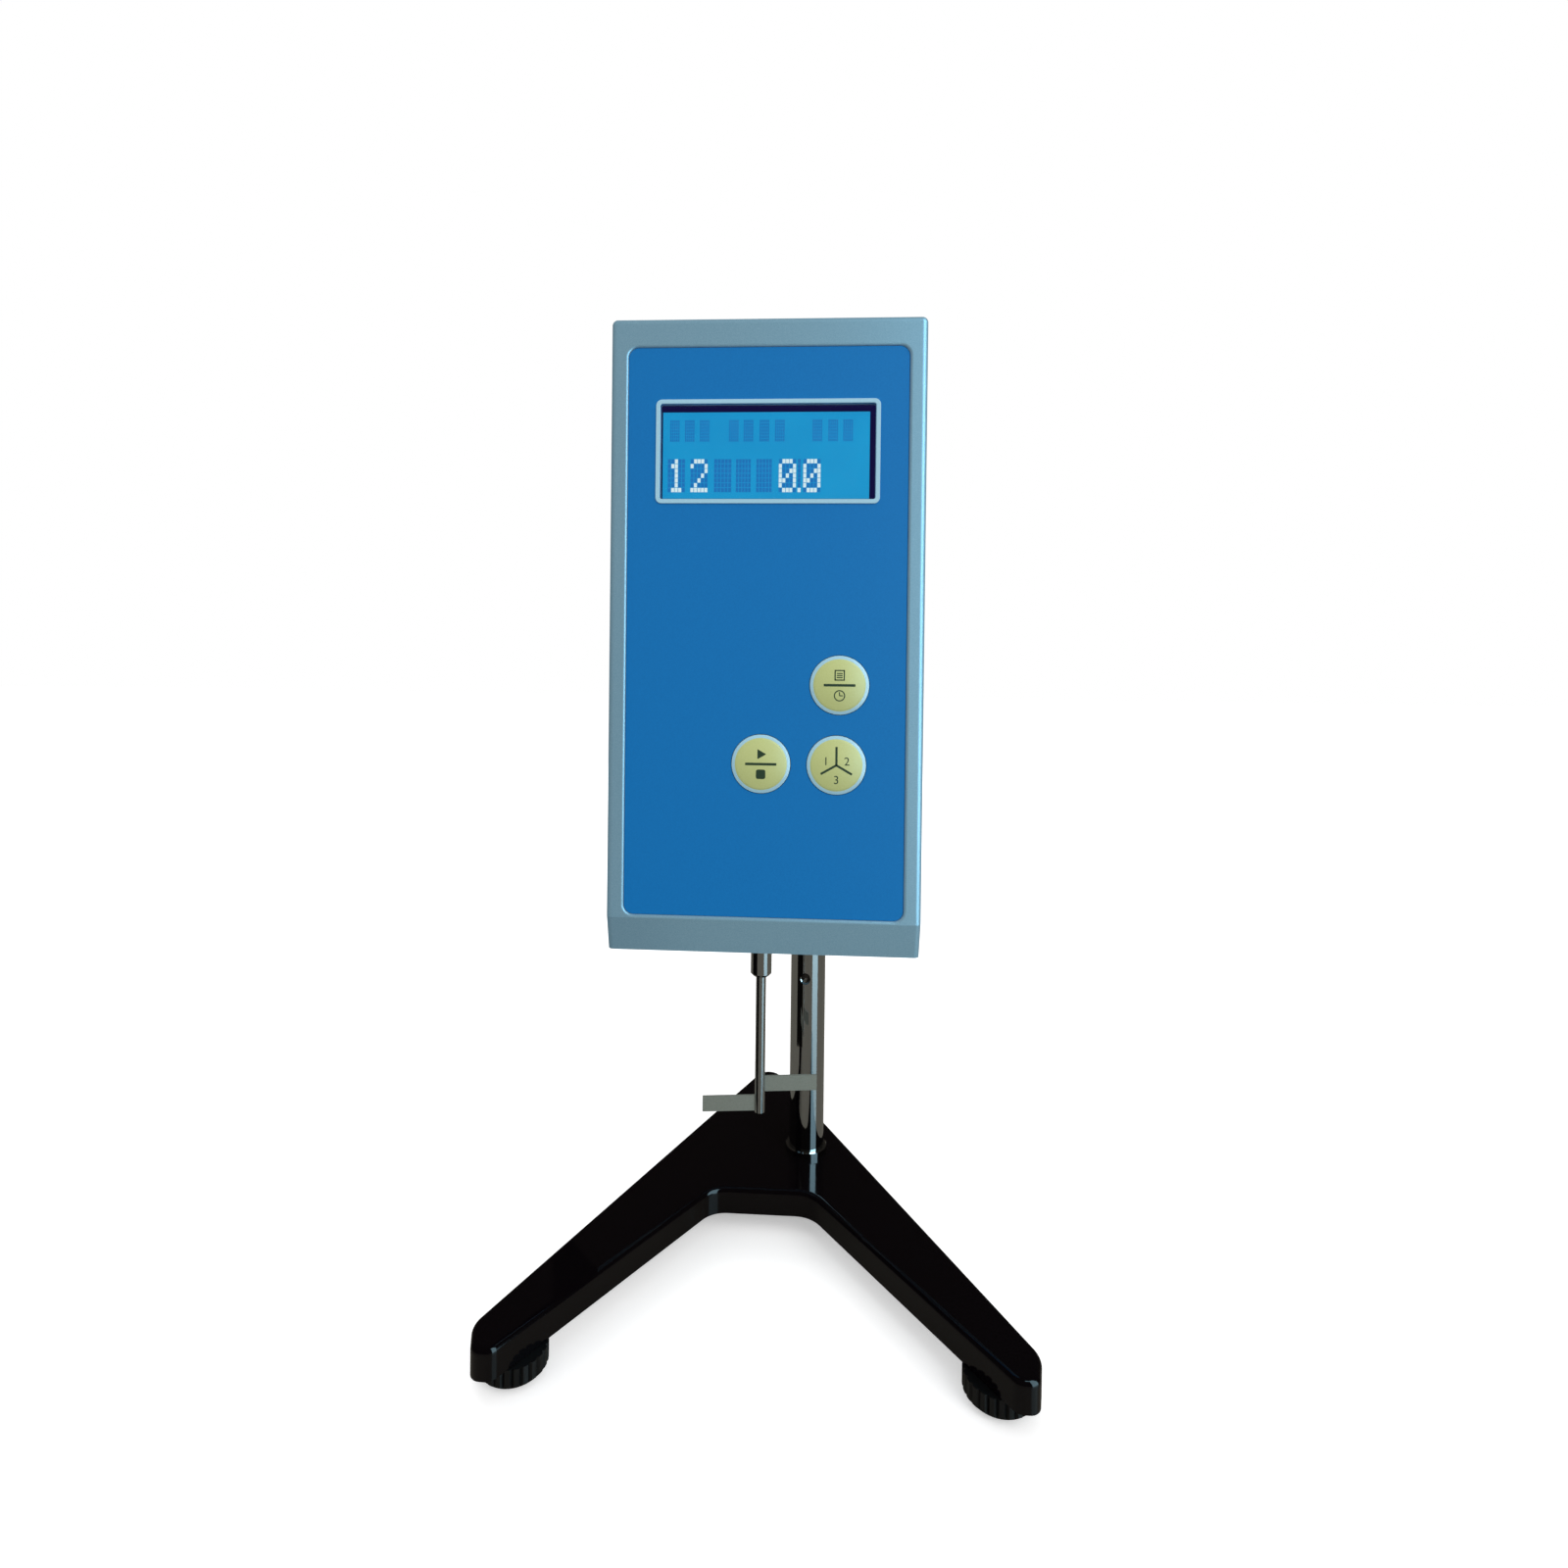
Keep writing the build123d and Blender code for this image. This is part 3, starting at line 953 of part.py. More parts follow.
for place, seat_z in zip(("lower", "upper"), bearing_seats):
    inner_race = SPINDLE_RADIUS + RUNNING + BEARING_RACE
    outer_race = BEARING_RADIUS - BEARING_OUTER_RACE
    with BuildPart() as bearing:
        turn_profile(
            [(SPINDLE_RADIUS + RUNNING, seat_z), (inner_race, seat_z), (inner_race, seat_z + BEARING_SHIELD),
             (outer_race, seat_z + BEARING_SHIELD), (outer_race, seat_z), (BEARING_RADIUS, seat_z),
             (BEARING_RADIUS, seat_z + BEARING_WIDTH), (outer_race, seat_z + BEARING_WIDTH),
             (outer_race, seat_z + BEARING_WIDTH - BEARING_SHIELD),
             (inner_race, seat_z + BEARING_WIDTH - BEARING_SHIELD),
             (inner_race, seat_z + BEARING_WIDTH), (SPINDLE_RADIUS + RUNNING, seat_z + BEARING_WIDTH)],
            SPINDLE_X, SPINDLE_Y)
    bearing.part.label = f"{place}_bearing"
    export_step(bearing.part, f"parts/{place}_bearing.step")

chuck_bottom = HEAD_BOTTOM - CHUCK_DROP
chuck_top = HEAD_BOTTOM + 1.5
chuck_middle = (chuck_bottom + chuck_top) / 2 + 1
with BuildPart() as spindle_chuck:
    turn_profile(
        [(PADDLE_SHAFT_RADIUS + SEAT, chuck_bottom), (CHUCK_RADIUS - CHUCK_CHAMFER, chuck_bottom),
         (CHUCK_RADIUS, chuck_bottom + CHUCK_CHAMFER), (CHUCK_RADIUS, chuck_top),
         (SPINDLE_RADIUS + SEAT, chuck_top),
         (SPINDLE_RADIUS + SEAT, chuck_middle), (PADDLE_SHAFT_RADIUS + SEAT, chuck_middle)],
        SPINDLE_X, SPINDLE_Y)
spindle_chuck.part.label = "spindle_chuck"
export_step(spindle_chuck.part, "parts/spindle_chuck.step")

with BuildPart() as spindle_shaft:
    turn_profile(
        [(0, chuck_middle + FREE), (SPINDLE_RADIUS, chuck_middle + FREE), (SPINDLE_RADIUS, spring_top + FREE),
         (0, spring_top + FREE)],
        SPINDLE_X, SPINDLE_Y)
spindle_shaft.part.label = "spindle_shaft"
export_step(spindle_shaft.part, "parts/spindle_shaft.step")

# Two slotted discs pass the optical sensors. Their lag behind each other is the spring's wind-up.
for place, disc_z, hub_low, hub_high, bore in (
        ("output", output_disc_z, housing_top + 0.6, output_disc_z, SPINDLE_RADIUS + SEAT),
        ("input", input_disc_z, input_disc_z + DISC_THICKNESS, hub_top, 0)):
    with BuildPart() as disc:
        with BuildSketch(Plane.XY.offset(disc_z)):
            with Locations((SPINDLE_X, SPINDLE_Y)):
                Circle(DISC_RADIUS)
                with PolarLocations(DISC_RADIUS - DISC_SLOT_INSET, DISC_SLOTS):
                    Rectangle(DISC_SLOT_LENGTH, DISC_SLOT_WIDTH, mode=Mode.SUBTRACT)
        extrude(amount=DISC_THICKNESS)
        with BuildSketch(Plane.XY.offset(hub_low)):
            with Locations((SPINDLE_X, SPINDLE_Y)):
                Circle(DISC_HUB_RADIUS)
        extrude(amount=hub_high - hub_low)
        if place == "output":
            with BuildSketch(Plane.XY.offset(hub_low)):
                with Locations((SPINDLE_X, SPINDLE_Y)):
                    Circle(bore)
            extrude(amount=disc_z + DISC_THICKNESS - hub_low, mode=Mode.SUBTRACT)
        else:
            # the peg that drives the spring's outer end, and the shaft up into the gearbox
            with BuildSketch(Plane.XY.offset(spring_bottom)):
                with Locations((SPINDLE_X + SPRING_OUTER_RADIUS + SPRING_PEG_RADIUS + SPRING_STRIP, SPINDLE_Y)):
                    Circle(SPRING_PEG_RADIUS)
            extrude(amount=disc_z - spring_bottom)
            with BuildSketch(Plane.XY.offset(hub_high)):
                with Locations((SPINDLE_X, SPINDLE_Y)):
                    Circle(SPINDLE_RADIUS)
            extrude(amount=shaft_end - hub_high)
    disc.part.label = f"{place}_disc"
    export_step(disc.part, f"parts/{place}_disc.step")


def half_turn(count, shift):
    """One half turn of the spiral, each on a centre of its own, moved outwards by shift."""
    growth = (SPRING_OUTER_RADIUS - spring_inner_radius) / SPRING_HALF_TURNS
    near = spring_inner_radius + growth * count + shift
    far = near + growth
    side = -1 if (SPRING_HALF_TURNS - count) % 2 else 1
    ThreePointArc((SPINDLE_X + side * near, SPINDLE_Y),
                  (SPINDLE_X + side * (near - far) / 2, SPINDLE_Y + side * (near + far) / 2),
                  (SPINDLE_X - side * far, SPINDLE_Y))


with BuildPart() as torque_spring:
    with BuildSketch(Plane.XY.offset(spring_bottom)):
        with BuildLine():
            for count in range(SPRING_HALF_TURNS):
                half_turn(count, 0)
                half_turn(count, SPRING_STRIP)
            start_side = -1 if SPRING_HALF_TURNS % 2 else 1
            Line((SPINDLE_X + start_side * spring_inner_radius, SPINDLE_Y),
                 (SPINDLE_X + start_side * (spring_inner_radius + SPRING_STRIP), SPINDLE_Y))
            Line((SPINDLE_X + SPRING_OUTER_RADIUS, SPINDLE_Y),
                 (SPINDLE_X + SPRING_OUTER_RADIUS + SPRING_STRIP, SPINDLE_Y))
        make_face()
    extrude(amount=SPRING_HEIGHT)
torque_spring.part.label = "torque_spring"
export_step(torque_spring.part, "parts/torque_spring.step")

with BuildPart() as gearmotor:
    turn_profile(
        [(SPINDLE_RADIUS + RUNNING, bracket_bottom), (GEARBOX_PILOT_RADIUS, bracket_bottom),
         (GEARBOX_PILOT_RADIUS, bracket_top), (GEARBOX_RADIUS, bracket_top), (GEARBOX_RADIUS, gearbox_top),
         (MOTOR_RADIUS, gearbox_top), (MOTOR_RADIUS, motor_top - END_CHAMFER),
         (MOTOR_RADIUS - END_CHAMFER, motor_top), (0, motor_top), (0, shaft_end + FREE),
         (SPINDLE_RADIUS + RUNNING, shaft_end + FREE)],
        SPINDLE_X, SPINDLE_Y)
gearmotor.part.label = "gearmotor"
export_step(gearmotor.part, "parts/gearmotor.step")

bracket_front = SPINDLE_Y - GEARBOX_RADIUS - 0.5
with BuildPart() as motor_bracket:
    with BuildSketch(Plane.XY.offset(bracket_bottom)):
        with Locations((SPINDLE_X, (bracket_front + CHASSIS_Y) / 2)):
            Rectangle(2 * GEARBOX_RADIUS + 6, CHASSIS_Y - bracket_front)
        with Locations((SPINDLE_X, SPINDLE_Y)):
            Circle(GEARBOX_PILOT_RADIUS + SEAT, mode=Mode.SUBTRACT)
    extrude(amount=MOTOR_BRACKET_THICKNESS)
    with BuildSketch(Plane.XY.offset(bracket_bottom)):
        with Locations((SPINDLE_X, CHASSIS_Y - MOTOR_BRACKET_THICKNESS / 2)):
            Rectangle(2 * GEARBOX_RADIUS + 6, MOTOR_BRACKET_THICKNESS)
    extrude(amount=MOTOR_BRACKET_RISE)
motor_bracket.part.label = "motor_bracket"
export_step(motor_bracket.part, "parts/motor_bracket.step")

fork_front = SPINDLE_Y + DISC_RADIUS - DISC_SLOT_INSET
fork_back = fork_front + FORK_DEPTH
sensor_top = hub_top + 2.0
sensor_bottom = output_disc_z - FORK_HEIGHT / 2
with BuildPart() as optical_sensors:
    for disc_z in (output_disc_z, input_disc_z):
        fork_z = disc_z + DISC_THICKNESS / 2
        with BuildSketch(Plane.YZ.offset(SPINDLE_X)):
            with Locations(((fork_front + fork_back) / 2, fork_z)):
                Rectangle(FORK_DEPTH, FORK_HEIGHT)
            with Locations((fork_front + FORK_SLOT_DEPTH / 2, fork_z)):
                Rectangle(FORK_SLOT_DEPTH, FORK_SLOT, mode=Mode.SUBTRACT)
        extrude(amount=FORK_WIDTH / 2, both=True)
optical_sensors.part.label = "optical_sensors"
export_step(optical_sensors.part, "parts/optical_sensors.step")

with BuildPart() as sensor_bracket:
    with BuildSketch(Plane.YZ.offset(SPINDLE_X)):
        with BuildLine():
            Polyline((fork_back, sensor_bottom), (fork_back + BRACKET_SHEET, sensor_bottom),
                     (fork_back + BRACKET_SHEET, sensor_top - BRACKET_SHEET),
                     (CHASSIS_Y - BRACKET_SHEET, sensor_top - BRACKET_SHEET),
                     (CHASSIS_Y - BRACKET_SHEET, sensor_bottom), (CHASSIS_Y, sensor_bottom),
                     (CHASSIS_Y, sensor_top), (fork_back, sensor_top), close=True)
        make_face()
    extrude(amount=FORK_WIDTH / 2 + 2, both=True)
sensor_bracket.part.label = "sensor_bracket"
export_step(sensor_bracket.part, "parts/sensor_bracket.step")

# The paddle: a thin shaft with one blade on each side, the right one higher by a pitch.
with BuildPart() as paddle_shaft:
    turn_profile(
        [(0, PADDLE_END), (PADDLE_SHAFT_RADIUS - 0.3, PADDLE_END), (PADDLE_SHAFT_RADIUS, PADDLE_END + 0.3),
         (PADDLE_SHAFT_RADIUS, chuck_middle - FREE), (0, chuck_middle - FREE)],
        SPINDLE_X, SPINDLE_Y)
paddle_shaft.part.label = "paddle_shaft"
export_step(paddle_shaft.part, "parts/paddle_shaft.step")

for place, side, rise in (("lower", -1, 0), ("upper", 1, BLADE_PITCH)):
    blade_bottom = PADDLE_END + BLADE_END_MARGIN + rise
    blade_length = PADDLE_WIDTH / 2 - PADDLE_SHAFT_RADIUS / 2
    turn = math.radians(PADDLE_TURN)
    blade_plane = Plane(origin=(SPINDLE_X, SPINDLE_Y, blade_bottom), x_dir=(math.cos(turn), math.sin(turn), 0))
    with BuildPart() as blade:
        with BuildSketch(blade_plane):
            with Locations((side * (PADDLE_WIDTH - blade_length) / 2, 0)):
                Rectangle(blade_length, BLADE_THICKNESS)
            Circle(PADDLE_SHAFT_RADIUS + SEAT, mode=Mode.SUBTRACT)
        extrude(amount=BLADE_HEIGHT)
    blade.part.label = f"paddle_blade_{place}"
    export_step(blade.part, f"parts/paddle_blade_{place}.step")
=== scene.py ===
import bpy
import math
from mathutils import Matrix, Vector


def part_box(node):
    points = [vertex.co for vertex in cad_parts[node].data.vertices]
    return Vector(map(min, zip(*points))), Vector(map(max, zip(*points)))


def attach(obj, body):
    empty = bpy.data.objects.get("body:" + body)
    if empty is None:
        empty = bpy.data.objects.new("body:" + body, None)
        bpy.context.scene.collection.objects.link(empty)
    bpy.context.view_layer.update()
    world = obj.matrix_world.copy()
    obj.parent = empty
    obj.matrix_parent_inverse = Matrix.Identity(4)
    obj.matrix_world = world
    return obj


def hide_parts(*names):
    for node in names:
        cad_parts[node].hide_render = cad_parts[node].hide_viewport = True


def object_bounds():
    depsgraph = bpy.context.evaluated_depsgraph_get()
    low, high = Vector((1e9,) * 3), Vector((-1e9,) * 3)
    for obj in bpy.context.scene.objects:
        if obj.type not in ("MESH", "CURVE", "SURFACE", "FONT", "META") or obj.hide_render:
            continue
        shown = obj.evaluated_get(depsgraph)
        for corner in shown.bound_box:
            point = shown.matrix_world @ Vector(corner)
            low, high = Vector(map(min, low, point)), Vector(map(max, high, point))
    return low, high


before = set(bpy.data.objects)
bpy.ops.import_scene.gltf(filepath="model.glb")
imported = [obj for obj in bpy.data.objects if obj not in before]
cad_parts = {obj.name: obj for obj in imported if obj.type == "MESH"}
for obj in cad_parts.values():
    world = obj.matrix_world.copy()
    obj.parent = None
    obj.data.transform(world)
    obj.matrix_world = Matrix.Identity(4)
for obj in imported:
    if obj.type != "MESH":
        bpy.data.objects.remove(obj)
cad_low, cad_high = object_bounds()
MM = 0.001

# ======== studio ========
# A white floor and a white surround, with three plain soft lamps. What the steel and the enamel mirror is a
# dark room with one tall window, made of cards that only reflections and the display's pane see.


def linear(code):
    """An sRGB hex colour as linear RGBA."""
    parts = [int(code[i:i + 2], 16) / 255 for i in (1, 3, 5)]
    return [p / 12.92 if p <= 0.04045 else ((p + 0.055) / 1.055) ** 2.4 for p in parts] + [1.0]


def add_node(tree, kind, inputs=None, **settings):
    """One shader node. Its inputs are values, or the output sockets that they are linked to."""
    node = tree.nodes.new(kind)
    for name, value in settings.items():
        setattr(node, name, value)
    for name, value in (inputs or {}).items():
        if isinstance(value, bpy.types.NodeSocket):
            tree.links.new(value, node.inputs[name])
        else:
            node.inputs[name].default_value = value
    return node


SURROUND_LIGHT = 0.72
FLOOR_SIDE = 12.0
FLOOR_SEEN, FLOOR_LIFT = 0.9, 0.4
FLOOR_BOUNCE = 0.38

world = bpy.data.worlds.new("white_surround")
bpy.context.scene.world = world
world.use_nodes = True
world.node_tree.nodes.clear()
rays = add_node(world.node_tree, "ShaderNodeLightPath")
mirror_rays = add_node(world.node_tree, "ShaderNodeMath",
                       {0: rays.outputs["Is Glossy Ray"], 1: rays.outputs["Is Transmission Ray"]},
                       operation="MAXIMUM")
seen_rays = add_node(world.node_tree, "ShaderNodeMath",
                     {0: mirror_rays.outputs[0], 1: rays.outputs["Is Camera Ray"]}, operation="MAXIMUM")
lit = add_node(world.node_tree, "ShaderNodeBackground", {"Color": (1, 1, 1, 1), "Strength": SURROUND_LIGHT})
white = add_node(world.node_tree, "ShaderNodeBackground", {"Color": (1, 1, 1, 1), "Strength": 1.0})
surround = add_node(world.node_tree, "ShaderNodeMixShader",
                    {0: seen_rays.outputs[0], 1: lit.outputs[0], 2: white.outputs[0]})
add_node(world.node_tree, "ShaderNodeOutputWorld", {"Surface": surround.outputs[0]})

bpy.ops.object.select_all(action="DESELECT")
bpy.ops.mesh.primitive_plane_add(size=FLOOR_SIDE, location=(0, 0, cad_low.z))
floor = bpy.context.object
floor.name = "studio_floor"
# White paper: seen white, but it throws only a little light back up under the head.
paper = bpy.data.materials.new("white_paper")
paper.use_nodes = True
tree = paper.node_tree
tree.nodes.clear()
rays = add_node(tree, "ShaderNodeLightPath")
bounced = add_node(tree, "ShaderNodeBsdfDiffuse", {"Color": (FLOOR_BOUNCE, FLOOR_BOUNCE, FLOOR_BOUNCE, 1)})
sheet = add_node(tree, "ShaderNodeBsdfDiffuse", {"Color": (FLOOR_SEEN, FLOOR_SEEN, FLOOR_SEEN, 1)})
lift = add_node(tree, "ShaderNodeEmission", {"Color": (1, 1, 1, 1), "Strength": FLOOR_LIFT})
lifted = add_node(tree, "ShaderNodeAddShader", {0: sheet.outputs[0], 1: lift.outputs[0]})
mirror_rays = add_node(tree, "ShaderNodeMath",
                       {0: rays.outputs["Is Glossy Ray"], 1: rays.outputs["Is Transmission Ray"]},
                       operation="MAXIMUM")
seen_rays = add_node(tree, "ShaderNodeMath",
                     {0: mirror_rays.outputs[0], 1: rays.outputs["Is Camera Ray"]}, operation="MAXIMUM")
seen = add_node(tree, "ShaderNodeMixShader",
                {0: seen_rays.outputs[0], 1: bounced.outputs[0], 2: lifted.outputs[0]})
add_node(tree, "ShaderNodeOutputMaterial", {"Surface": seen.outputs[0]})
floor.data.materials.append(paper)

LAMP_AIM = Vector((0, 0, 0.25))
for name, place, size, watts in (
        ("window_lamp", (1.0, -1.1, 1.1), 1.0, 11.0),
        ("fill_lamp", (-1.2, -0.8, 0.9), 1.2, 2.0),
        ("back_lamp", (-0.4, 1.4, 1.0), 1.2, 9.0)):
    lamp = bpy.data.lights.new(name, "AREA")
    lamp.size = size
    lamp.energy = watts
    holder = bpy.data.objects.new(name, lamp)
    holder.location = place
    holder.rotation_euler = (LAMP_AIM - Vector(place)).to_track_quat("-Z", "Y").to_euler()
    holder.visible_glossy = False
    bpy.context.scene.collection.objects.link(holder)

# The cards stand round the column's axis: the room's wall, a tall two-paned window on the right, whose band of
# light runs down the polished steel, and a dark edge on the left. Each has its radius, its foot and its top in
# metres, and the angles where it starts and ends, in degrees to the right of straight ahead.
column_low, column_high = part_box("column")
MIRROR_AXIS = ((column_low.x + column_high.x) / 2, (column_low.y + column_high.y) / 2)
ROOM_HEIGHT = 2.4
ROOM_HALF = 1.7
BENCH_RISE = 0.2 * MM
cards = []
for name, radius, low, high, first, last in (
        ("room_wall", 1.6, 0.0, ROOM_HEIGHT, -180, 180),
        ("window_lower_pane", 0.55, 0.0003, 0.56, 28, 66),
        ("window_upper_pane", 0.55, 0.57, 1.1, 28, 66),
        ("bench_shadow", 0.13, 0.024, 0.4, -74, -34)):
    bpy.ops.object.select_all(action="DESELECT")
    bpy.ops.mesh.primitive_cylinder_add(vertices=180, radius=radius, depth=high - low, end_fill_type="NOTHING",
                                        location=(*MIRROR_AXIS, (low + high) / 2))
    card = bpy.context.object
    card.name = name
    bpy.ops.object.mode_set(mode="EDIT")
    bpy.ops.mesh.select_mode(type="FACE")
    bpy.ops.mesh.select_all(action="DESELECT")
    bpy.ops.object.mode_set(mode="OBJECT")
    for face in card.data.polygons:
        turn = math.degrees(math.atan2(face.center.x, -face.center.y))
        face.select = not first <= turn <= last
    bpy.ops.object.mode_set(mode="EDIT")
    bpy.ops.mesh.delete(type="FACE")
    bpy.ops.object.mode_set(mode="OBJECT")
    cards.append(card)
for name, height in (("room_ceiling", ROOM_HEIGHT), ("room_bench", 0.0)):
    bpy.ops.object.select_all(action="DESELECT")
    bpy.ops.mesh.primitive_plane_add(size=2 * ROOM_HALF,
                                     location=(*MIRROR_AXIS, cad_low.z + height + BENCH_RISE))
    card = bpy.context.object
    card.name = name
    cards.append(card)
CARD_GLOW = {"room_wall": ("#2A2723", 1.0), "room_ceiling": ("#2A2723", 1.0), "bench_shadow": ("#0C0B0A", 1.0),
             "window_lower_pane": ("#B4DDEE", 6.0), "window_upper_pane": ("#B4DDEE", 6.0)}
for card in cards:
    face_look = bpy.data.materials.new(card.name)
    face_look.use_nodes = True
    tree = face_look.node_tree
    tree.nodes.clear()
    # The bench alone is a real surface, so that it mirrors the window in its turn.
    if card.name in CARD_GLOW:
        colour, strength = CARD_GLOW[card.name]
        surface = add_node(tree, "ShaderNodeEmission", {"Color": linear(colour), "Strength": strength})
    else:
        surface = add_node(tree, "ShaderNodeBsdfPrincipled",
                           {"Base Color": linear("#7A766C"), "Roughness": 0.15})
    add_node(tree, "ShaderNodeOutputMaterial", {"Surface": surface.outputs[0]})
    card.data.materials.append(face_look)
    card.visible_camera = False
    card.visible_diffuse = False
    card.visible_shadow = False

# The camera stands close in front, a little above the display, and looks very slightly to the left and down.
CAMERA_PLACE = (13.93 * MM, -422.08 * MM, 280.16 * MM)
CAMERA_YAW = 3.316
CAMERA_PITCH = -0.449
CAMERA_ROLL = 0.641
FOCAL_PIXELS = 873.26
AXIS_PIXEL = (762.0, 679.2)
FRAME_PIXELS = 1600

camera = bpy.data.objects.new("camera", bpy.data.cameras.new("camera"))
camera.location = CAMERA_PLACE
camera.rotation_euler = (math.radians(90 + CAMERA_PITCH), 0, math.radians(CAMERA_YAW))
camera.rotation_euler.rotate_axis("Z", math.radians(CAMERA_ROLL))
camera.data.sensor_width = 36
camera.data.lens = FOCAL_PIXELS / FRAME_PIXELS * camera.data.sensor_width
camera.data.shift_x = (FRAME_PIXELS / 2 - AXIS_PIXEL[0]) / FRAME_PIXELS
camera.data.shift_y = (AXIS_PIXEL[1] - FRAME_PIXELS / 2) / FRAME_PIXELS
camera.data.clip_start = 0.01
bpy.context.scene.collection.objects.link(camera)
bpy.context.scene.camera = camera
bpy.context.scene.view_settings.view_transform = "Standard"

# ======== base casting ========
# The stand's V-shaped foot is one iron casting. Its edges are rounded by the mould, and glossy black stoving
# enamel has flowed over them. The column stands in its hub, and a levelling foot is screwed into each end.


def new_finish(name, colour, roughness, metallic=0.0, **more):
    """A material with one Principled shader: its tree, its shader, and its Object coordinates."""
    material = bpy.data.materials.new(name)
    material.use_nodes = True
    tree = material.node_tree
    shader = tree.nodes["Principled BSDF"]
    settings = {"Base Color": linear(colour), "Roughness": roughness, "Metallic": metallic, **more}
    for socket, value in settings.items():
        shader.inputs[socket].default_value = value
    return material, tree, shader, add_node(tree, "ShaderNodeTexCoord").outputs["Object"]


def paint(material, *nodes):
    """Give CAD nodes this finish."""
    for node in nodes:
        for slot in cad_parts[node].material_slots:
            slot.material = material


# Stoved enamel: near-black, wet gloss, with the slow orange peel of a sprayed coat, 3 mm from crest to crest.
ORANGE_PEEL = 3.0
black_enamel, tree, shader, place = new_finish(
    "black_stoving_enamel", "#060406", 0.08, **{"Specular IOR Level": 0.35})
peel = add_node(tree, "ShaderNodeTexNoise", {"Vector": place, "Scale": 1000 / ORANGE_PEEL, "Detail": 1.0})
relief = add_node(tree, "ShaderNodeBump",
                  {"Height": peel.outputs["Fac"], "Strength": 0.08, "Distance": 0.1 * MM})
tree.links.new(relief.outputs[0], shader.inputs["Normal"])
paint(black_enamel, "base_casting")

# ======== column ========
# A ground and polished stainless post, cross-drilled for a stop pin, stands in a turned collar. A washer and a
# nut draw it down from under the foot. The spindle's chuck and the paddle's shaft are of the same bright steel.

# Polished stainless steel: centreless grinding leaves fine rings round the post. They are under 0.1 mm apart,
# too fine to be seen, and are drawn 0.5 mm apart. Round the post they hardly change.
GRINDING = 0.5
ROUND_STRETCH = 8
polished_steel, tree, shader, place = new_finish("polished_stainless_steel", "#B9BCBE", 0.05, 1.0)
rings = add_node(tree, "ShaderNodeMapping",
                 {"Vector": place, "Scale": (ROUND_STRETCH, ROUND_STRETCH, 1000 / GRINDING)})
lay = add_node(tree, "ShaderNodeTexNoise", {"Vector": rings.outputs[0], "Scale": 1.0, "Detail": 2.0})
worn = add_node(tree, "ShaderNodeMapRange", {"Value": lay.outputs["Fac"], "To Min": 0.03, "To Max": 0.07})
relief = add_node(tree, "ShaderNodeBump",
                  {"Height": lay.outputs["Fac"], "Strength": 0.05, "Distance": 0.02 * MM})
tree.links.new(worn.outputs[0], shader.inputs["Roughness"])
tree.links.new(relief.outputs[0], shader.inputs["Normal"])
paint(polished_steel, "column", "column_collar", "spindle_chuck", "paddle_shaft")

# Bright zinc plate, on the nuts, screws, studs and brackets: pale, slightly blue, and finely mottled by the
# crystals of the plating, about 1 mm across.
ZINC_CRYSTAL = 1.0
zinc_plate, tree, shader, place = new_finish("bright_zinc_plate", "#C3C7CC", 0.3, 1.0)
crystals = add_node(tree, "ShaderNodeTexVoronoi", {"Vector": place, "Scale": 1000 / ZINC_CRYSTAL})
dull = add_node(tree, "ShaderNodeMapRange",
                {"Value": crystals.outputs["Distance"], "To Min": 0.24, "To Max": 0.38})
tree.links.new(dull.outputs[0], shader.inputs["Roughness"])
paint(zinc_plate, "column_washer", "column_nut", "rear_screws", "bottom_screws", "chassis_plate",
      "motor_bracket", "sensor_bracket", "clamp_stud", "levelling_stud_front_left", "levelling_stud_front_right",
      "levelling_stud_rear")

# ======== levelling feet ========
# Three knurled knobs are moulded on zinc-plated studs, which screw into the casting. Each turns on the pivot of
# a soft pad that stands on the bench. The clamp's knob, the power socket, the switch and the optical sensors
# are of the same plastic.

# Moulded ABS: black with a spark-eroded grain that scatters the light, 0.4 mm across.
ABS_GRAIN = 0.4
black_abs, tree, shader, place = new_finish("black_moulded_abs", "#0B0B0C", 0.38)
grain = add_node(tree, "ShaderNodeTexNoise", {"Vector": place, "Scale": 1000 / ABS_GRAIN, "Detail": 3.0})
relief = add_node(tree, "ShaderNodeBump",
                  {"Height": grain.outputs["Fac"], "Strength": 0.25, "Distance": 0.05 * MM})
tree.links.new(relief.outputs[0], shader.inputs["Normal"])
paint(black_abs, "levelling_knob_front_left", "levelling_knob_front_right", "levelling_knob_rear",
      "clamp_knob", "optical_sensors", "dc_jack", "switch_housing", "switch_rocker")

# Moulded rubber: charcoal and dull, with a dusty bloom in patches of a few millimetres.
RUBBER_BLOOM = 4.0
black_rubber, tree, shader, place = new_finish("black_moulded_rubber", "#1A1A1B", 0.8)
bloom = add_node(tree, "ShaderNodeTexNoise", {"Vector": place, "Scale": 1000 / RUBBER_BLOOM, "Detail": 4.0})
dusty = add_node(tree, "ShaderNodeMix",
                 {"Factor": bloom.outputs["Fac"], "A": linear("#161617"), "B": linear("#242425")},
                 data_type="RGBA")
tree.links.new(dusty.outputs["Result"], shader.inputs["Base Color"])
paint(black_rubber, "foot_pad_front_left", "foot_pad_front_right", "foot_pad_rear")

# ======== head housing ========
# The head is two cast shells, the front with a chin that slopes back to the spindle, and a bottom plate that
# is screwed up between them. All three are sprayed in a fine silver-blue metallic paint.

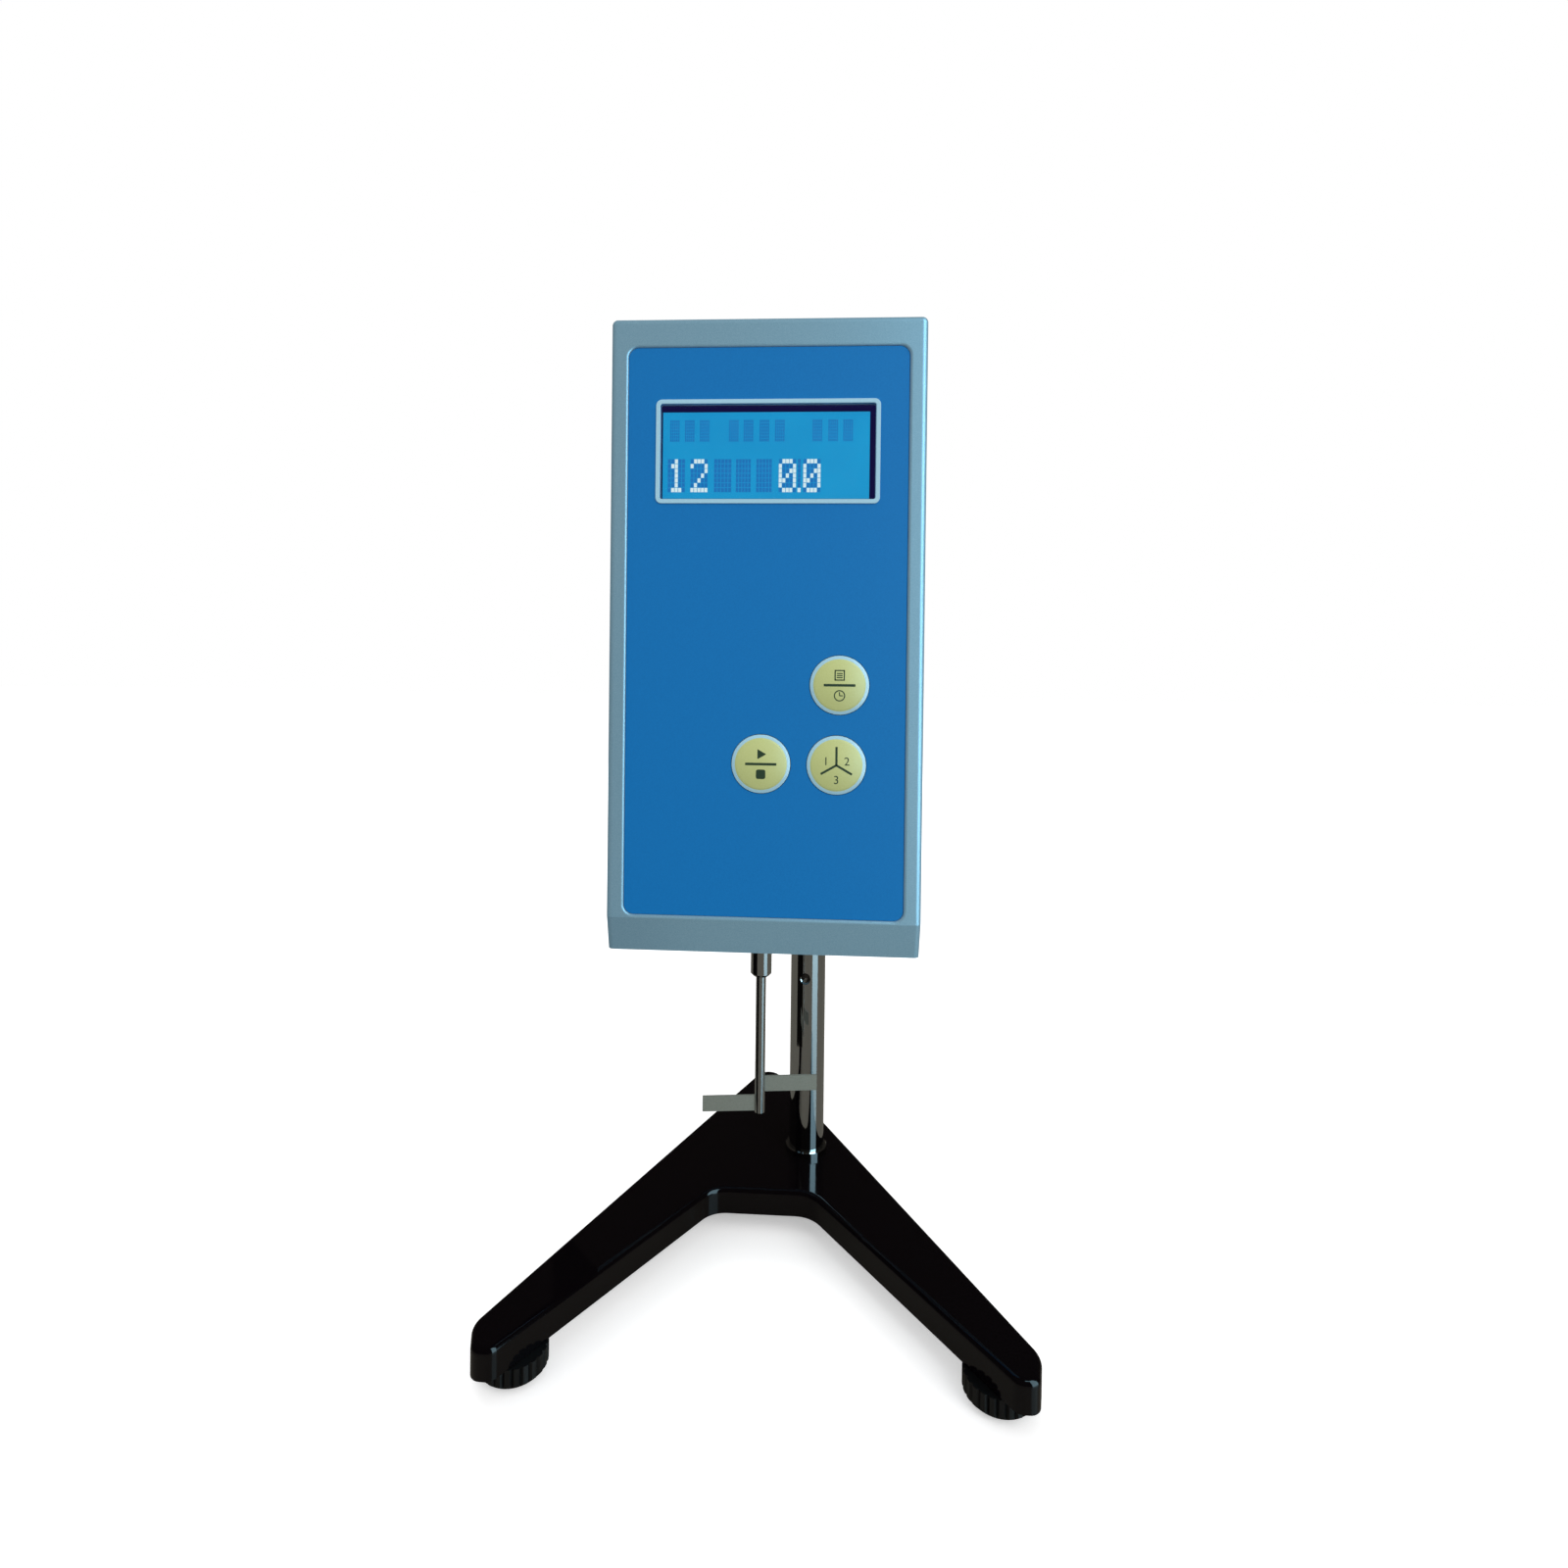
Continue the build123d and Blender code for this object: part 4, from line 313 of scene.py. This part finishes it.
# Metallic paint: silver-blue and satin. Its flakes lie at slightly different angles, so that the tint changes
# from one to the next. Real flakes are 0.05 mm across, and these are drawn at 0.3 mm.
PAINT_FLAKE = 0.3
silver_blue, tree, shader, place = new_finish("silver_blue_metallic_paint", "#8FB0BF", 0.42, 0.35)
flakes = add_node(tree, "ShaderNodeTexVoronoi", {"Vector": place, "Scale": 1000 / PAINT_FLAKE})
tint = add_node(tree, "ShaderNodeMix",
                {"Factor": flakes.outputs["Color"], "A": linear("#86B2C8"), "B": linear("#99C2D5")},
                data_type="RGBA")
relief = add_node(tree, "ShaderNodeBump",
                  {"Height": flakes.outputs["Distance"], "Strength": 0.12, "Distance": 0.03 * MM})
tree.links.new(tint.outputs["Result"], shader.inputs["Base Color"])
tree.links.new(relief.outputs[0], shader.inputs["Normal"])
paint(silver_blue, "front_shell", "rear_cover", "bottom_plate")

# ======== front panel ========
# A sheet of polycarbonate, printed deep blue on its back and cut out for the display and the keys, is stuck
# into a shallow recess of the front shell. Its face is embossed with a fine velvet, which keeps glare off it.

# Textured polycarbonate: saturated blue under a satin surface, whose embossing is 0.7 mm across.
VELVET = 0.7
blue_membrane, tree, shader, place = new_finish(
    "blue_printed_polycarbonate", "#0A6DB4", 0.5, **{"Specular IOR Level": 0.2})
velvet = add_node(tree, "ShaderNodeTexNoise", {"Vector": place, "Scale": 1000 / VELVET, "Detail": 2.0})
tint = add_node(tree, "ShaderNodeMix",
                {"Factor": velvet.outputs["Fac"], "A": linear("#0270B8"), "B": linear("#0A7CC6")},
                data_type="RGBA")
relief = add_node(tree, "ShaderNodeBump",
                  {"Height": velvet.outputs["Fac"], "Strength": 0.2, "Distance": 0.05 * MM})
tree.links.new(tint.outputs["Result"], shader.inputs["Base Color"])
tree.links.new(relief.outputs[0], shader.inputs["Normal"])
paint(blue_membrane, "front_overlay")

# ======== display ========
# A backlit dot-matrix module stands behind a clear window, with its moulded bezel round the lit glass. A thin
# frame, printed pale blue, is stuck to the panel round the window.

# Gloss print: pale blue ink under a clear coat, very slightly uneven in gloss, in patches of 1.5 mm.
INK_PATCH = 1.5
pale_print, tree, shader, place = new_finish("pale_blue_gloss_print", "#A9D8EC", 0.25)
ink = add_node(tree, "ShaderNodeTexNoise", {"Vector": place, "Scale": 1000 / INK_PATCH})
uneven = add_node(tree, "ShaderNodeMapRange", {"Value": ink.outputs["Fac"], "To Min": 0.2, "To Max": 0.32})
tree.links.new(uneven.outputs[0], shader.inputs["Roughness"])
paint(pale_print, "display_frame")

# Cast acrylic: water-clear and polished, with the faintest waviness, 30 mm from crest to crest.
CAST_WAVE = 30
clear_acrylic, tree, shader, place = new_finish("clear_cast_acrylic", "#F4FAFF", 0.02, **{
    "Transmission Weight": 1.0, "IOR": 1.49})
wave = add_node(tree, "ShaderNodeTexNoise", {"Vector": place, "Scale": 1000 / CAST_WAVE})
relief = add_node(tree, "ShaderNodeBump",
                  {"Height": wave.outputs["Fac"], "Strength": 0.02, "Distance": 0.1 * MM})
tree.links.new(relief.outputs[0], shader.inputs["Normal"])
paint(clear_acrylic, "display_pane")

# Navy moulded bezel round the lit glass, with a painted glow: a faint navy emission on the bezel stands in for
# the backlight's spill on it.
# The emission below is painted light: the bezel itself gives off no light.
navy_bezel_with_painted_glow, tree, shader, place = new_finish("navy_moulded_bezel_with_painted_glow", "#14103C", 0.4, **{
    "Emission Color": linear("#14103C"), "Emission Strength": 0.9})
grain = add_node(tree, "ShaderNodeTexNoise", {"Vector": place, "Scale": 1000 / ABS_GRAIN})
relief = add_node(tree, "ShaderNodeBump",
                  {"Height": grain.outputs["Fac"], "Strength": 0.2, "Distance": 0.05 * MM})
tree.links.new(relief.outputs[0], shader.inputs["Normal"])
paint(navy_bezel_with_painted_glow, "display_module")

# Backlit liquid crystal: a bright blue glow, a little uneven over some 30 mm, as its light-guide leaves it.
GLOW_PATCH = 30
DISPLAY_GLOW = 1.05
glass_low, glass_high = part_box("display_glass")
glass_middle = (glass_low + glass_high) / 2
lit_crystal, tree, shader, place = new_finish("backlit_liquid_crystal", "#02080C", 0.3)
centred = add_node(tree, "ShaderNodeMapping", {
    "Vector": place, "Location": (-glass_middle.x, 0, -glass_middle.z),
    "Scale": (1, 0, 1)}, vector_type="POINT")
glow = add_node(tree, "ShaderNodeTexNoise", {"Vector": centred.outputs[0], "Scale": 1000 / GLOW_PATCH})
colours = add_node(tree, "ShaderNodeMix",
                   {"Factor": glow.outputs["Fac"], "A": linear("#1A8CC4"), "B": linear("#1EA0D2")},
                   data_type="RGBA")
tree.links.new(colours.outputs["Result"], shader.inputs["Emission Color"])
shader.inputs["Emission Strength"].default_value = DISPLAY_GLOW
paint(lit_crystal, "display_glass")

# The crystal's dots stand 5 by 7 to a character, darker blue where they are off and white where they are lit.
# Each cell is a grid whose faces are inset one by one, and the rims between the dots are cut away.
DOT_RIM = 0.12 * MM
DOT_PROUD = 0.02 * MM
CELL_UPPER_FOOT, CELL_LOWER_FOOT = 377.2, 354.6
DOT_FONT = {"0": "01110 10001 10011 10101 11001 10001 01110", "1": "00100 01100 00100 00100 00100 00100 01110",
            "2": "01110 10001 00001 00010 00100 01000 11111", ".": "0 0 0 0 0 0 1"}
# Unlit dots: a darker blue through which the backlight still shows, a little uneven over 12 mm.
DOT_PATCH = 12
dark_dot, tree, shader, place = new_finish("dark_crystal_dot", "#041018", 0.35)
patches = add_node(tree, "ShaderNodeTexNoise", {"Vector": place, "Scale": 1000 / DOT_PATCH})
glow = add_node(tree, "ShaderNodeMix",
                {"Factor": patches.outputs["Fac"], "A": linear("#1B69AE"), "B": linear("#237BBE")},
                data_type="RGBA")
tree.links.new(glow.outputs["Result"], shader.inputs["Emission Color"])
shader.inputs["Emission Strength"].default_value = DISPLAY_GLOW
# Lit dots: clear, so that the backlight comes through nearly white.
lit_dot, tree, shader, place = new_finish("lit_crystal_dot", "#20282A", 0.35)
patches = add_node(tree, "ShaderNodeTexNoise", {"Vector": place, "Scale": 1000 / DOT_PATCH})
glow = add_node(tree, "ShaderNodeMix",
                {"Factor": patches.outputs["Fac"], "A": linear("#D6E8EA"), "B": linear("#E2F0F0")},
                data_type="RGBA")
tree.links.new(glow.outputs["Result"], shader.inputs["Emission Color"])
shader.inputs["Emission Strength"].default_value = DISPLAY_GLOW

# Each cell's left edge, foot, width and height in millimetres, and what it shows. The point is one dot wide.
cells = [(x, CELL_UPPER_FOOT, 4.5, 9.9, None)
         for x in (-44.0, -37.3, -30.6, -17.5, -10.9, -3.8, 3.1, 19.8, 26.8, 33.4)]
cells += [(left, CELL_LOWER_FOOT, width, 15.0, character) for left, width, character in (
    (-44.9, 8.0, "1"), (-34.6, 7.9, "2"), (-24.0, 8.0, None), (-14.2, 6.9, None),
    (-5.1, 7.2, None), (5.0, 7.9, "0"), (13.4, 1.6, "."), (15.9, 7.9, "0"))]
DOT_ROWS = 7
made_cells = []
for left, bottom, width, height, character in cells:
    dot_columns = 1 if character == "." else 5
    bpy.ops.object.select_all(action="DESELECT")
    bpy.ops.mesh.primitive_grid_add(x_subdivisions=dot_columns, y_subdivisions=DOT_ROWS, size=1,
                                    location=(0, 0, 0))
    cell = bpy.context.object
    cell.data.materials.append(dark_dot)
    cell.data.materials.append(lit_dot)
    rows = DOT_FONT[character].split() if character else []
    for dot in cell.data.polygons:
        from_left = int((dot.center.x + 0.5) * dot_columns)
        from_top = int((0.5 - dot.center.y) * DOT_ROWS)
        if rows and rows[from_top][from_left] == "1":
            dot.material_index = 1
    bpy.ops.object.mode_set(mode="EDIT")
    bpy.ops.mesh.select_all(action="SELECT")
    bpy.ops.transform.resize(value=(width * MM, height * MM, 1))
    bpy.ops.transform.rotate(value=-math.pi / 2, orient_axis="X", center_override=(0, 0, 0))
    bpy.ops.transform.translate(
        value=((left + width / 2) * MM, glass_low.y - DOT_PROUD, (bottom + height / 2) * MM))
    bpy.ops.mesh.inset(thickness=DOT_RIM, use_individual=True)
    bpy.ops.mesh.select_all(action="INVERT")
    bpy.ops.mesh.delete(type="FACE")
    bpy.ops.object.mode_set(mode="OBJECT")
    made_cells.append(cell)
bpy.ops.object.select_all(action="DESELECT")
for cell in made_cells:
    cell.select_set(True)
bpy.context.view_layer.objects.active = made_cells[0]
bpy.ops.object.join()
display_dots = bpy.context.object
display_dots.name = "display_dots"
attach(display_dots, "head")

# Glass-fibre board under green solder resist: the weave, 1.2 mm from thread to thread, shows faintly.
WEAVE = 1.2
solder_resist, tree, shader, place = new_finish("green_solder_resist", "#0B5A34", 0.35)
weave = add_node(tree, "ShaderNodeTexChecker", {"Vector": place, "Scale": 1000 / WEAVE,
                                                "Color1": linear("#0B5A34"), "Color2": linear("#0D623A")})
tree.links.new(weave.outputs["Color"], shader.inputs["Base Color"])
paint(solder_resist, "display_board", "key_board", "main_board")

# ======== keys ========
# Three round push keys are moulded in pale green plastic and pass through the panel to the switches behind it.
# Each has a rim printed pale blue and dark symbols printed on its flat crown with a soft pad.

# Moulded key: a soft satin surface with a fine spark-eroded grain of 0.6 mm, slightly mottled.
KEY_GRAIN = 0.6
key_green, tree, shader, place = new_finish("pale_green_moulded_key", "#C9D58F", 0.45)
grain = add_node(tree, "ShaderNodeTexNoise", {"Vector": place, "Scale": 1000 / KEY_GRAIN})
tint = add_node(tree, "ShaderNodeMix",
                {"Factor": grain.outputs["Fac"], "A": linear("#C2CD80"), "B": linear("#CBD694")},
                data_type="RGBA")
relief = add_node(tree, "ShaderNodeBump",
                  {"Height": grain.outputs["Fac"], "Strength": 0.1, "Distance": 0.03 * MM})
tree.links.new(tint.outputs["Result"], shader.inputs["Base Color"])
tree.links.new(relief.outputs[0], shader.inputs["Normal"])
# Pad-printed ink: dark green-black and dull, uneven in gloss over 0.5 mm where the pad lifted off.
PRINT_PATCH = 0.5
key_ink, tree, shader, place = new_finish("dark_green_pad_print", "#24401F", 0.55)
worn = add_node(tree, "ShaderNodeTexNoise", {"Vector": place, "Scale": 1000 / PRINT_PATCH})
uneven = add_node(tree, "ShaderNodeMapRange", {"Value": worn.outputs["Fac"], "To Min": 0.45, "To Max": 0.65})
tree.links.new(uneven.outputs[0], shader.inputs["Roughness"])

# The rim is all of the key's front that lies outside the crown.
RIM_RADIUS = 11.62 * MM
RIM_DEPTH = 1.7 * MM
KEY_MERGE = 0.001 * MM
KEY_SIDES = ("left", "upper", "right")
crowns = {}
for side in KEY_SIDES:
    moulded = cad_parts["key_" + side]
    key_low, key_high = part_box("key_" + side)
    middle = (key_low + key_high) / 2
    crowns[side] = Vector((middle.x, key_low.y, middle.z))
    key = moulded.copy()
    key.data = moulded.data.copy()
    key.name = side + "_key_cap"
    bpy.context.scene.collection.objects.link(key)
    bpy.ops.object.select_all(action="DESELECT")
    key.select_set(True)
    bpy.context.view_layer.objects.active = key
    bpy.ops.object.mode_set(mode="EDIT")
    bpy.ops.mesh.select_all(action="SELECT")
    bpy.ops.mesh.remove_doubles(threshold=KEY_MERGE)
    bpy.ops.object.mode_set(mode="OBJECT")
    key.data.materials.clear()
    key.data.materials.append(key_green)
    key.data.materials.append(pale_print)
    for face in key.data.polygons:
        reach = math.hypot(face.center.x - middle.x, face.center.z - middle.z)
        face.material_index = 1 if reach > RIM_RADIUS and face.center.y < key_low.y + RIM_DEPTH else 0
    bpy.ops.object.shade_smooth_by_angle(angle=math.radians(30))
    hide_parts("key_" + side)
    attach(key, side + "_key")

# The symbols, in millimetres from a key's middle: a triangle and a square, a sheet and a clock, and three
# sectors with plain digits. A bar has its place across and up, its length, its height and its turn in degrees.
MIDDLE_BAR = (0, 0, 13.9, 1.15, 0)
symbol_bars = {
    "left": [MIDDLE_BAR, (0, -4.5, 4.2, 4.2, 0)],
    "upper": [MIDDLE_BAR, (-2.0, 4.4, 0.55, 4.6, 0), (2.0, 4.4, 0.55, 4.6, 0), (0, 6.5, 4.5, 0.55, 0),
              (0, 2.3, 4.5, 0.55, 0), (0, 5.2, 2.6, 0.5, 0), (0, 4.3, 2.6, 0.5, 0), (0, 3.4, 2.6, 0.5, 0),
              (0, -3.8, 0.45, 1.7, 0), (0.7, -4.6, 1.5, 0.45, 0)],
    "right": [(0, 4.2, 1.0, 8.0, 0), (-3.4, -1.9, 8.0, 1.0, 30), (3.4, -1.9, 8.0, 1.0, -30)]}
BAR_CORNER = 0.2
TRIANGLE_PLACE, TRIANGLE_RADIUS, TRIANGLE_CORNER = (-0.2, 4.4), 2.6, 0.25
CLOCK_PLACE, CLOCK_RADIUS, CLOCK_LINE = (0, -4.6), 2.5, 0.5
DIGIT_HEIGHT = 5.2
digit_places = {"1": (-4.6, 1.6), "2": (4.6, 1.6), "3": (0, -6.6)}
PRINT_PROUD = 0.01 * MM

# Each mark is drawn flat round the origin, and is then stood up and moved on to its key's crown.
for side in KEY_SIDES:
    marks = []
    for across, up, length, height, turn in symbol_bars[side]:
        bpy.ops.object.select_all(action="DESELECT")
        bpy.ops.mesh.primitive_plane_add(size=1, location=(0, 0, 0))
        bpy.ops.object.mode_set(mode="EDIT")
        bpy.ops.transform.resize(value=(length * MM, height * MM, 1))
        bpy.ops.mesh.bevel(offset=min(length, height) * BAR_CORNER * MM, segments=3, affect="VERTICES")
        bpy.ops.transform.rotate(value=-math.radians(turn), orient_axis="Z", center_override=(0, 0, 0))
        bpy.ops.object.mode_set(mode="OBJECT")
        marks.append((bpy.context.object, across, up))
    bpy.ops.object.select_all(action="DESELECT")
    if side == "left":
        bpy.ops.mesh.primitive_circle_add(vertices=3, radius=TRIANGLE_RADIUS * MM, fill_type="NGON")
        bpy.ops.object.mode_set(mode="EDIT")
        bpy.ops.mesh.bevel(offset=TRIANGLE_CORNER * MM, segments=3, affect="VERTICES")
        bpy.ops.transform.rotate(value=math.pi / 2, orient_axis="Z", center_override=(0, 0, 0))
        bpy.ops.object.mode_set(mode="OBJECT")
        marks.append((bpy.context.object, *TRIANGLE_PLACE))
    elif side == "upper":
        bpy.ops.mesh.primitive_circle_add(vertices=32, radius=CLOCK_RADIUS * MM, fill_type="NGON")
        bpy.ops.object.mode_set(mode="EDIT")
        bpy.ops.mesh.inset(thickness=CLOCK_LINE * MM)
        bpy.ops.mesh.delete(type="FACE")
        bpy.ops.object.mode_set(mode="OBJECT")
        marks.append((bpy.context.object, *CLOCK_PLACE))
    else:
        for digit, (across, up) in digit_places.items():
            bpy.ops.object.select_all(action="DESELECT")
            bpy.ops.object.text_add(location=(0, 0, 0))
            figure = bpy.context.object.data
            figure.body = digit
            figure.size = DIGIT_HEIGHT * MM
            figure.align_x, figure.align_y = "CENTER", "CENTER"
            bpy.ops.object.convert(target="MESH")
            marks.append((bpy.context.object, across, up))
    for mark, across, up in marks:
        bpy.ops.object.select_all(action="DESELECT")
        mark.select_set(True)
        bpy.context.view_layer.objects.active = mark
        bpy.ops.object.mode_set(mode="EDIT")
        bpy.ops.mesh.select_all(action="SELECT")
        bpy.ops.transform.rotate(value=-math.pi / 2, orient_axis="X", center_override=(0, 0, 0))
        bpy.ops.transform.translate(value=crowns[side] + Vector((across * MM, -PRINT_PROUD, up * MM)))
        bpy.ops.object.mode_set(mode="OBJECT")
        mark.data.materials.clear()
        mark.data.materials.append(key_ink)
    bpy.ops.object.select_all(action="DESELECT")
    for mark, across, up in marks:
        mark.select_set(True)
    bpy.context.view_layer.objects.active = marks[0][0]
    bpy.ops.object.join()
    symbols = bpy.context.object
    symbols.name = side + "_key_symbols"
    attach(symbols, side + "_key")

# ======== chassis and clamp ========
# A milled aluminium block holds the head on the post. It slides on two bronze bushes, and a nylon pad at the
# end of the clamp's stud grips the post. The spindle's bearing housing is of the same aluminium.

# Machined aluminium: bright, with the fine uneven gloss of tool marks, 0.8 mm apart.
TOOL_MARK = 0.8
machined_aluminium, tree, shader, place = new_finish("machined_aluminium", "#C8CACC", 0.35, 1.0)
marks = add_node(tree, "ShaderNodeTexNoise", {"Vector": place, "Scale": 1000 / TOOL_MARK})
dull = add_node(tree, "ShaderNodeMapRange", {"Value": marks.outputs["Fac"], "To Min": 0.28, "To Max": 0.45})
tree.links.new(dull.outputs[0], shader.inputs["Roughness"])
paint(machined_aluminium, "clamp_block", "bearing_housing")

# Sintered bronze: brown-gold and dull, and speckled by its oil-filled pores, drawn 0.4 mm across.
BRONZE_PORE = 0.4
sintered_bronze, tree, shader, place = new_finish("sintered_bronze", "#B08A5A", 0.45, 1.0)
pores = add_node(tree, "ShaderNodeTexNoise", {"Vector": place, "Scale": 1000 / BRONZE_PORE})
dull = add_node(tree, "ShaderNodeMapRange", {"Value": pores.outputs["Fac"], "To Min": 0.38, "To Max": 0.55})
tree.links.new(dull.outputs[0], shader.inputs["Roughness"])
paint(sintered_bronze, "lower_bush", "upper_bush")

# Turned nylon: creamy white, with shallow tool rings 0.8 mm apart.
white_nylon, tree, shader, place = new_finish("white_turned_nylon", "#E4E2D8", 0.5)
rings = add_node(tree, "ShaderNodeTexNoise", {"Vector": place, "Scale": 1000 / TOOL_MARK})
relief = add_node(tree, "ShaderNodeBump",
                  {"Height": rings.outputs["Fac"], "Strength": 0.1, "Distance": 0.03 * MM})
tree.links.new(relief.outputs[0], shader.inputs["Normal"])
paint(white_nylon, "clamp_pad")

# ======== back and drive ========
# The serial port has a shell and a flange of tinned steel sheet. The geared motor that turns the spindle is a
# drawn steel can, painted black.

# Tinned steel: soft grey-white, with the uneven gloss of the dipped tin over about 1 mm.
TIN_PATCH = 1.0
tinned_steel, tree, shader, place = new_finish("tinned_steel", "#B8BABC", 0.32, 1.0)
tin = add_node(tree, "ShaderNodeTexNoise", {"Vector": place, "Scale": 1000 / TIN_PATCH})
dull = add_node(tree, "ShaderNodeMapRange", {"Value": tin.outputs["Fac"], "To Min": 0.26, "To Max": 0.4})
tree.links.new(dull.outputs[0], shader.inputs["Roughness"])
paint(tinned_steel, "serial_port")

# Painted steel can: black and satin, with a fine orange peel 0.7 mm across.
CAN_PEEL = 0.7
painted_can, tree, shader, place = new_finish("black_painted_can", "#17181A", 0.45)
speckle = add_node(tree, "ShaderNodeTexNoise", {"Vector": place, "Scale": 1000 / CAN_PEEL})
relief = add_node(tree, "ShaderNodeBump",
                  {"Height": speckle.outputs["Fac"], "Strength": 0.15, "Distance": 0.03 * MM})
tree.links.new(relief.outputs[0], shader.inputs["Normal"])
paint(painted_can, "gearmotor")

# ======== spindle and paddle ========
# The spindle runs in two ball bearings, and a spiral spring lets it lag behind the disc that drives it. The
# paddle's two flat blades are strips of steel, fixed to its shaft at opposite sides and at two heights.

# Satin stainless steel: turned and left with a fine lay along its length, about 3 mm long.
SATIN_LAY = 3
LAY_STRETCH = 12
satin_steel, tree, shader, place = new_finish("satin_stainless_steel", "#8E918B", 0.34, 1.0)
brushed = add_node(tree, "ShaderNodeMapping", {"Vector": place, "Scale": (1, 1, LAY_STRETCH)})
lay = add_node(tree, "ShaderNodeTexNoise",
               {"Vector": brushed.outputs[0], "Scale": 1000 / SATIN_LAY, "Detail": 3.0})
dull = add_node(tree, "ShaderNodeMapRange", {"Value": lay.outputs["Fac"], "To Min": 0.28, "To Max": 0.42})
tree.links.new(dull.outputs[0], shader.inputs["Roughness"])
paint(satin_steel, "spindle_shaft", "lower_bearing", "upper_bearing", "output_disc", "input_disc",
      "torque_spring")

# Bead-blasted stainless strip: an even dull grey, finely speckled by the beads' dents, 0.5 mm across.
BEAD_DENT = 0.5
blasted_steel, tree, shader, place = new_finish("bead_blasted_stainless_strip", "#8A8E84", 0.62, 0.35)
dents = add_node(tree, "ShaderNodeTexNoise", {"Vector": place, "Scale": 1000 / BEAD_DENT, "Detail": 2.0})
tint = add_node(tree, "ShaderNodeMix",
                {"Factor": dents.outputs["Fac"], "A": linear("#7C8076"), "B": linear("#969A90")},
                data_type="RGBA")
relief = add_node(tree, "ShaderNodeBump",
                  {"Height": dents.outputs["Fac"], "Strength": 0.15, "Distance": 0.03 * MM})
tree.links.new(tint.outputs["Result"], shader.inputs["Base Color"])
tree.links.new(relief.outputs[0], shader.inputs["Normal"])
paint(blasted_steel, "paddle_blade_lower", "paddle_blade_upper")
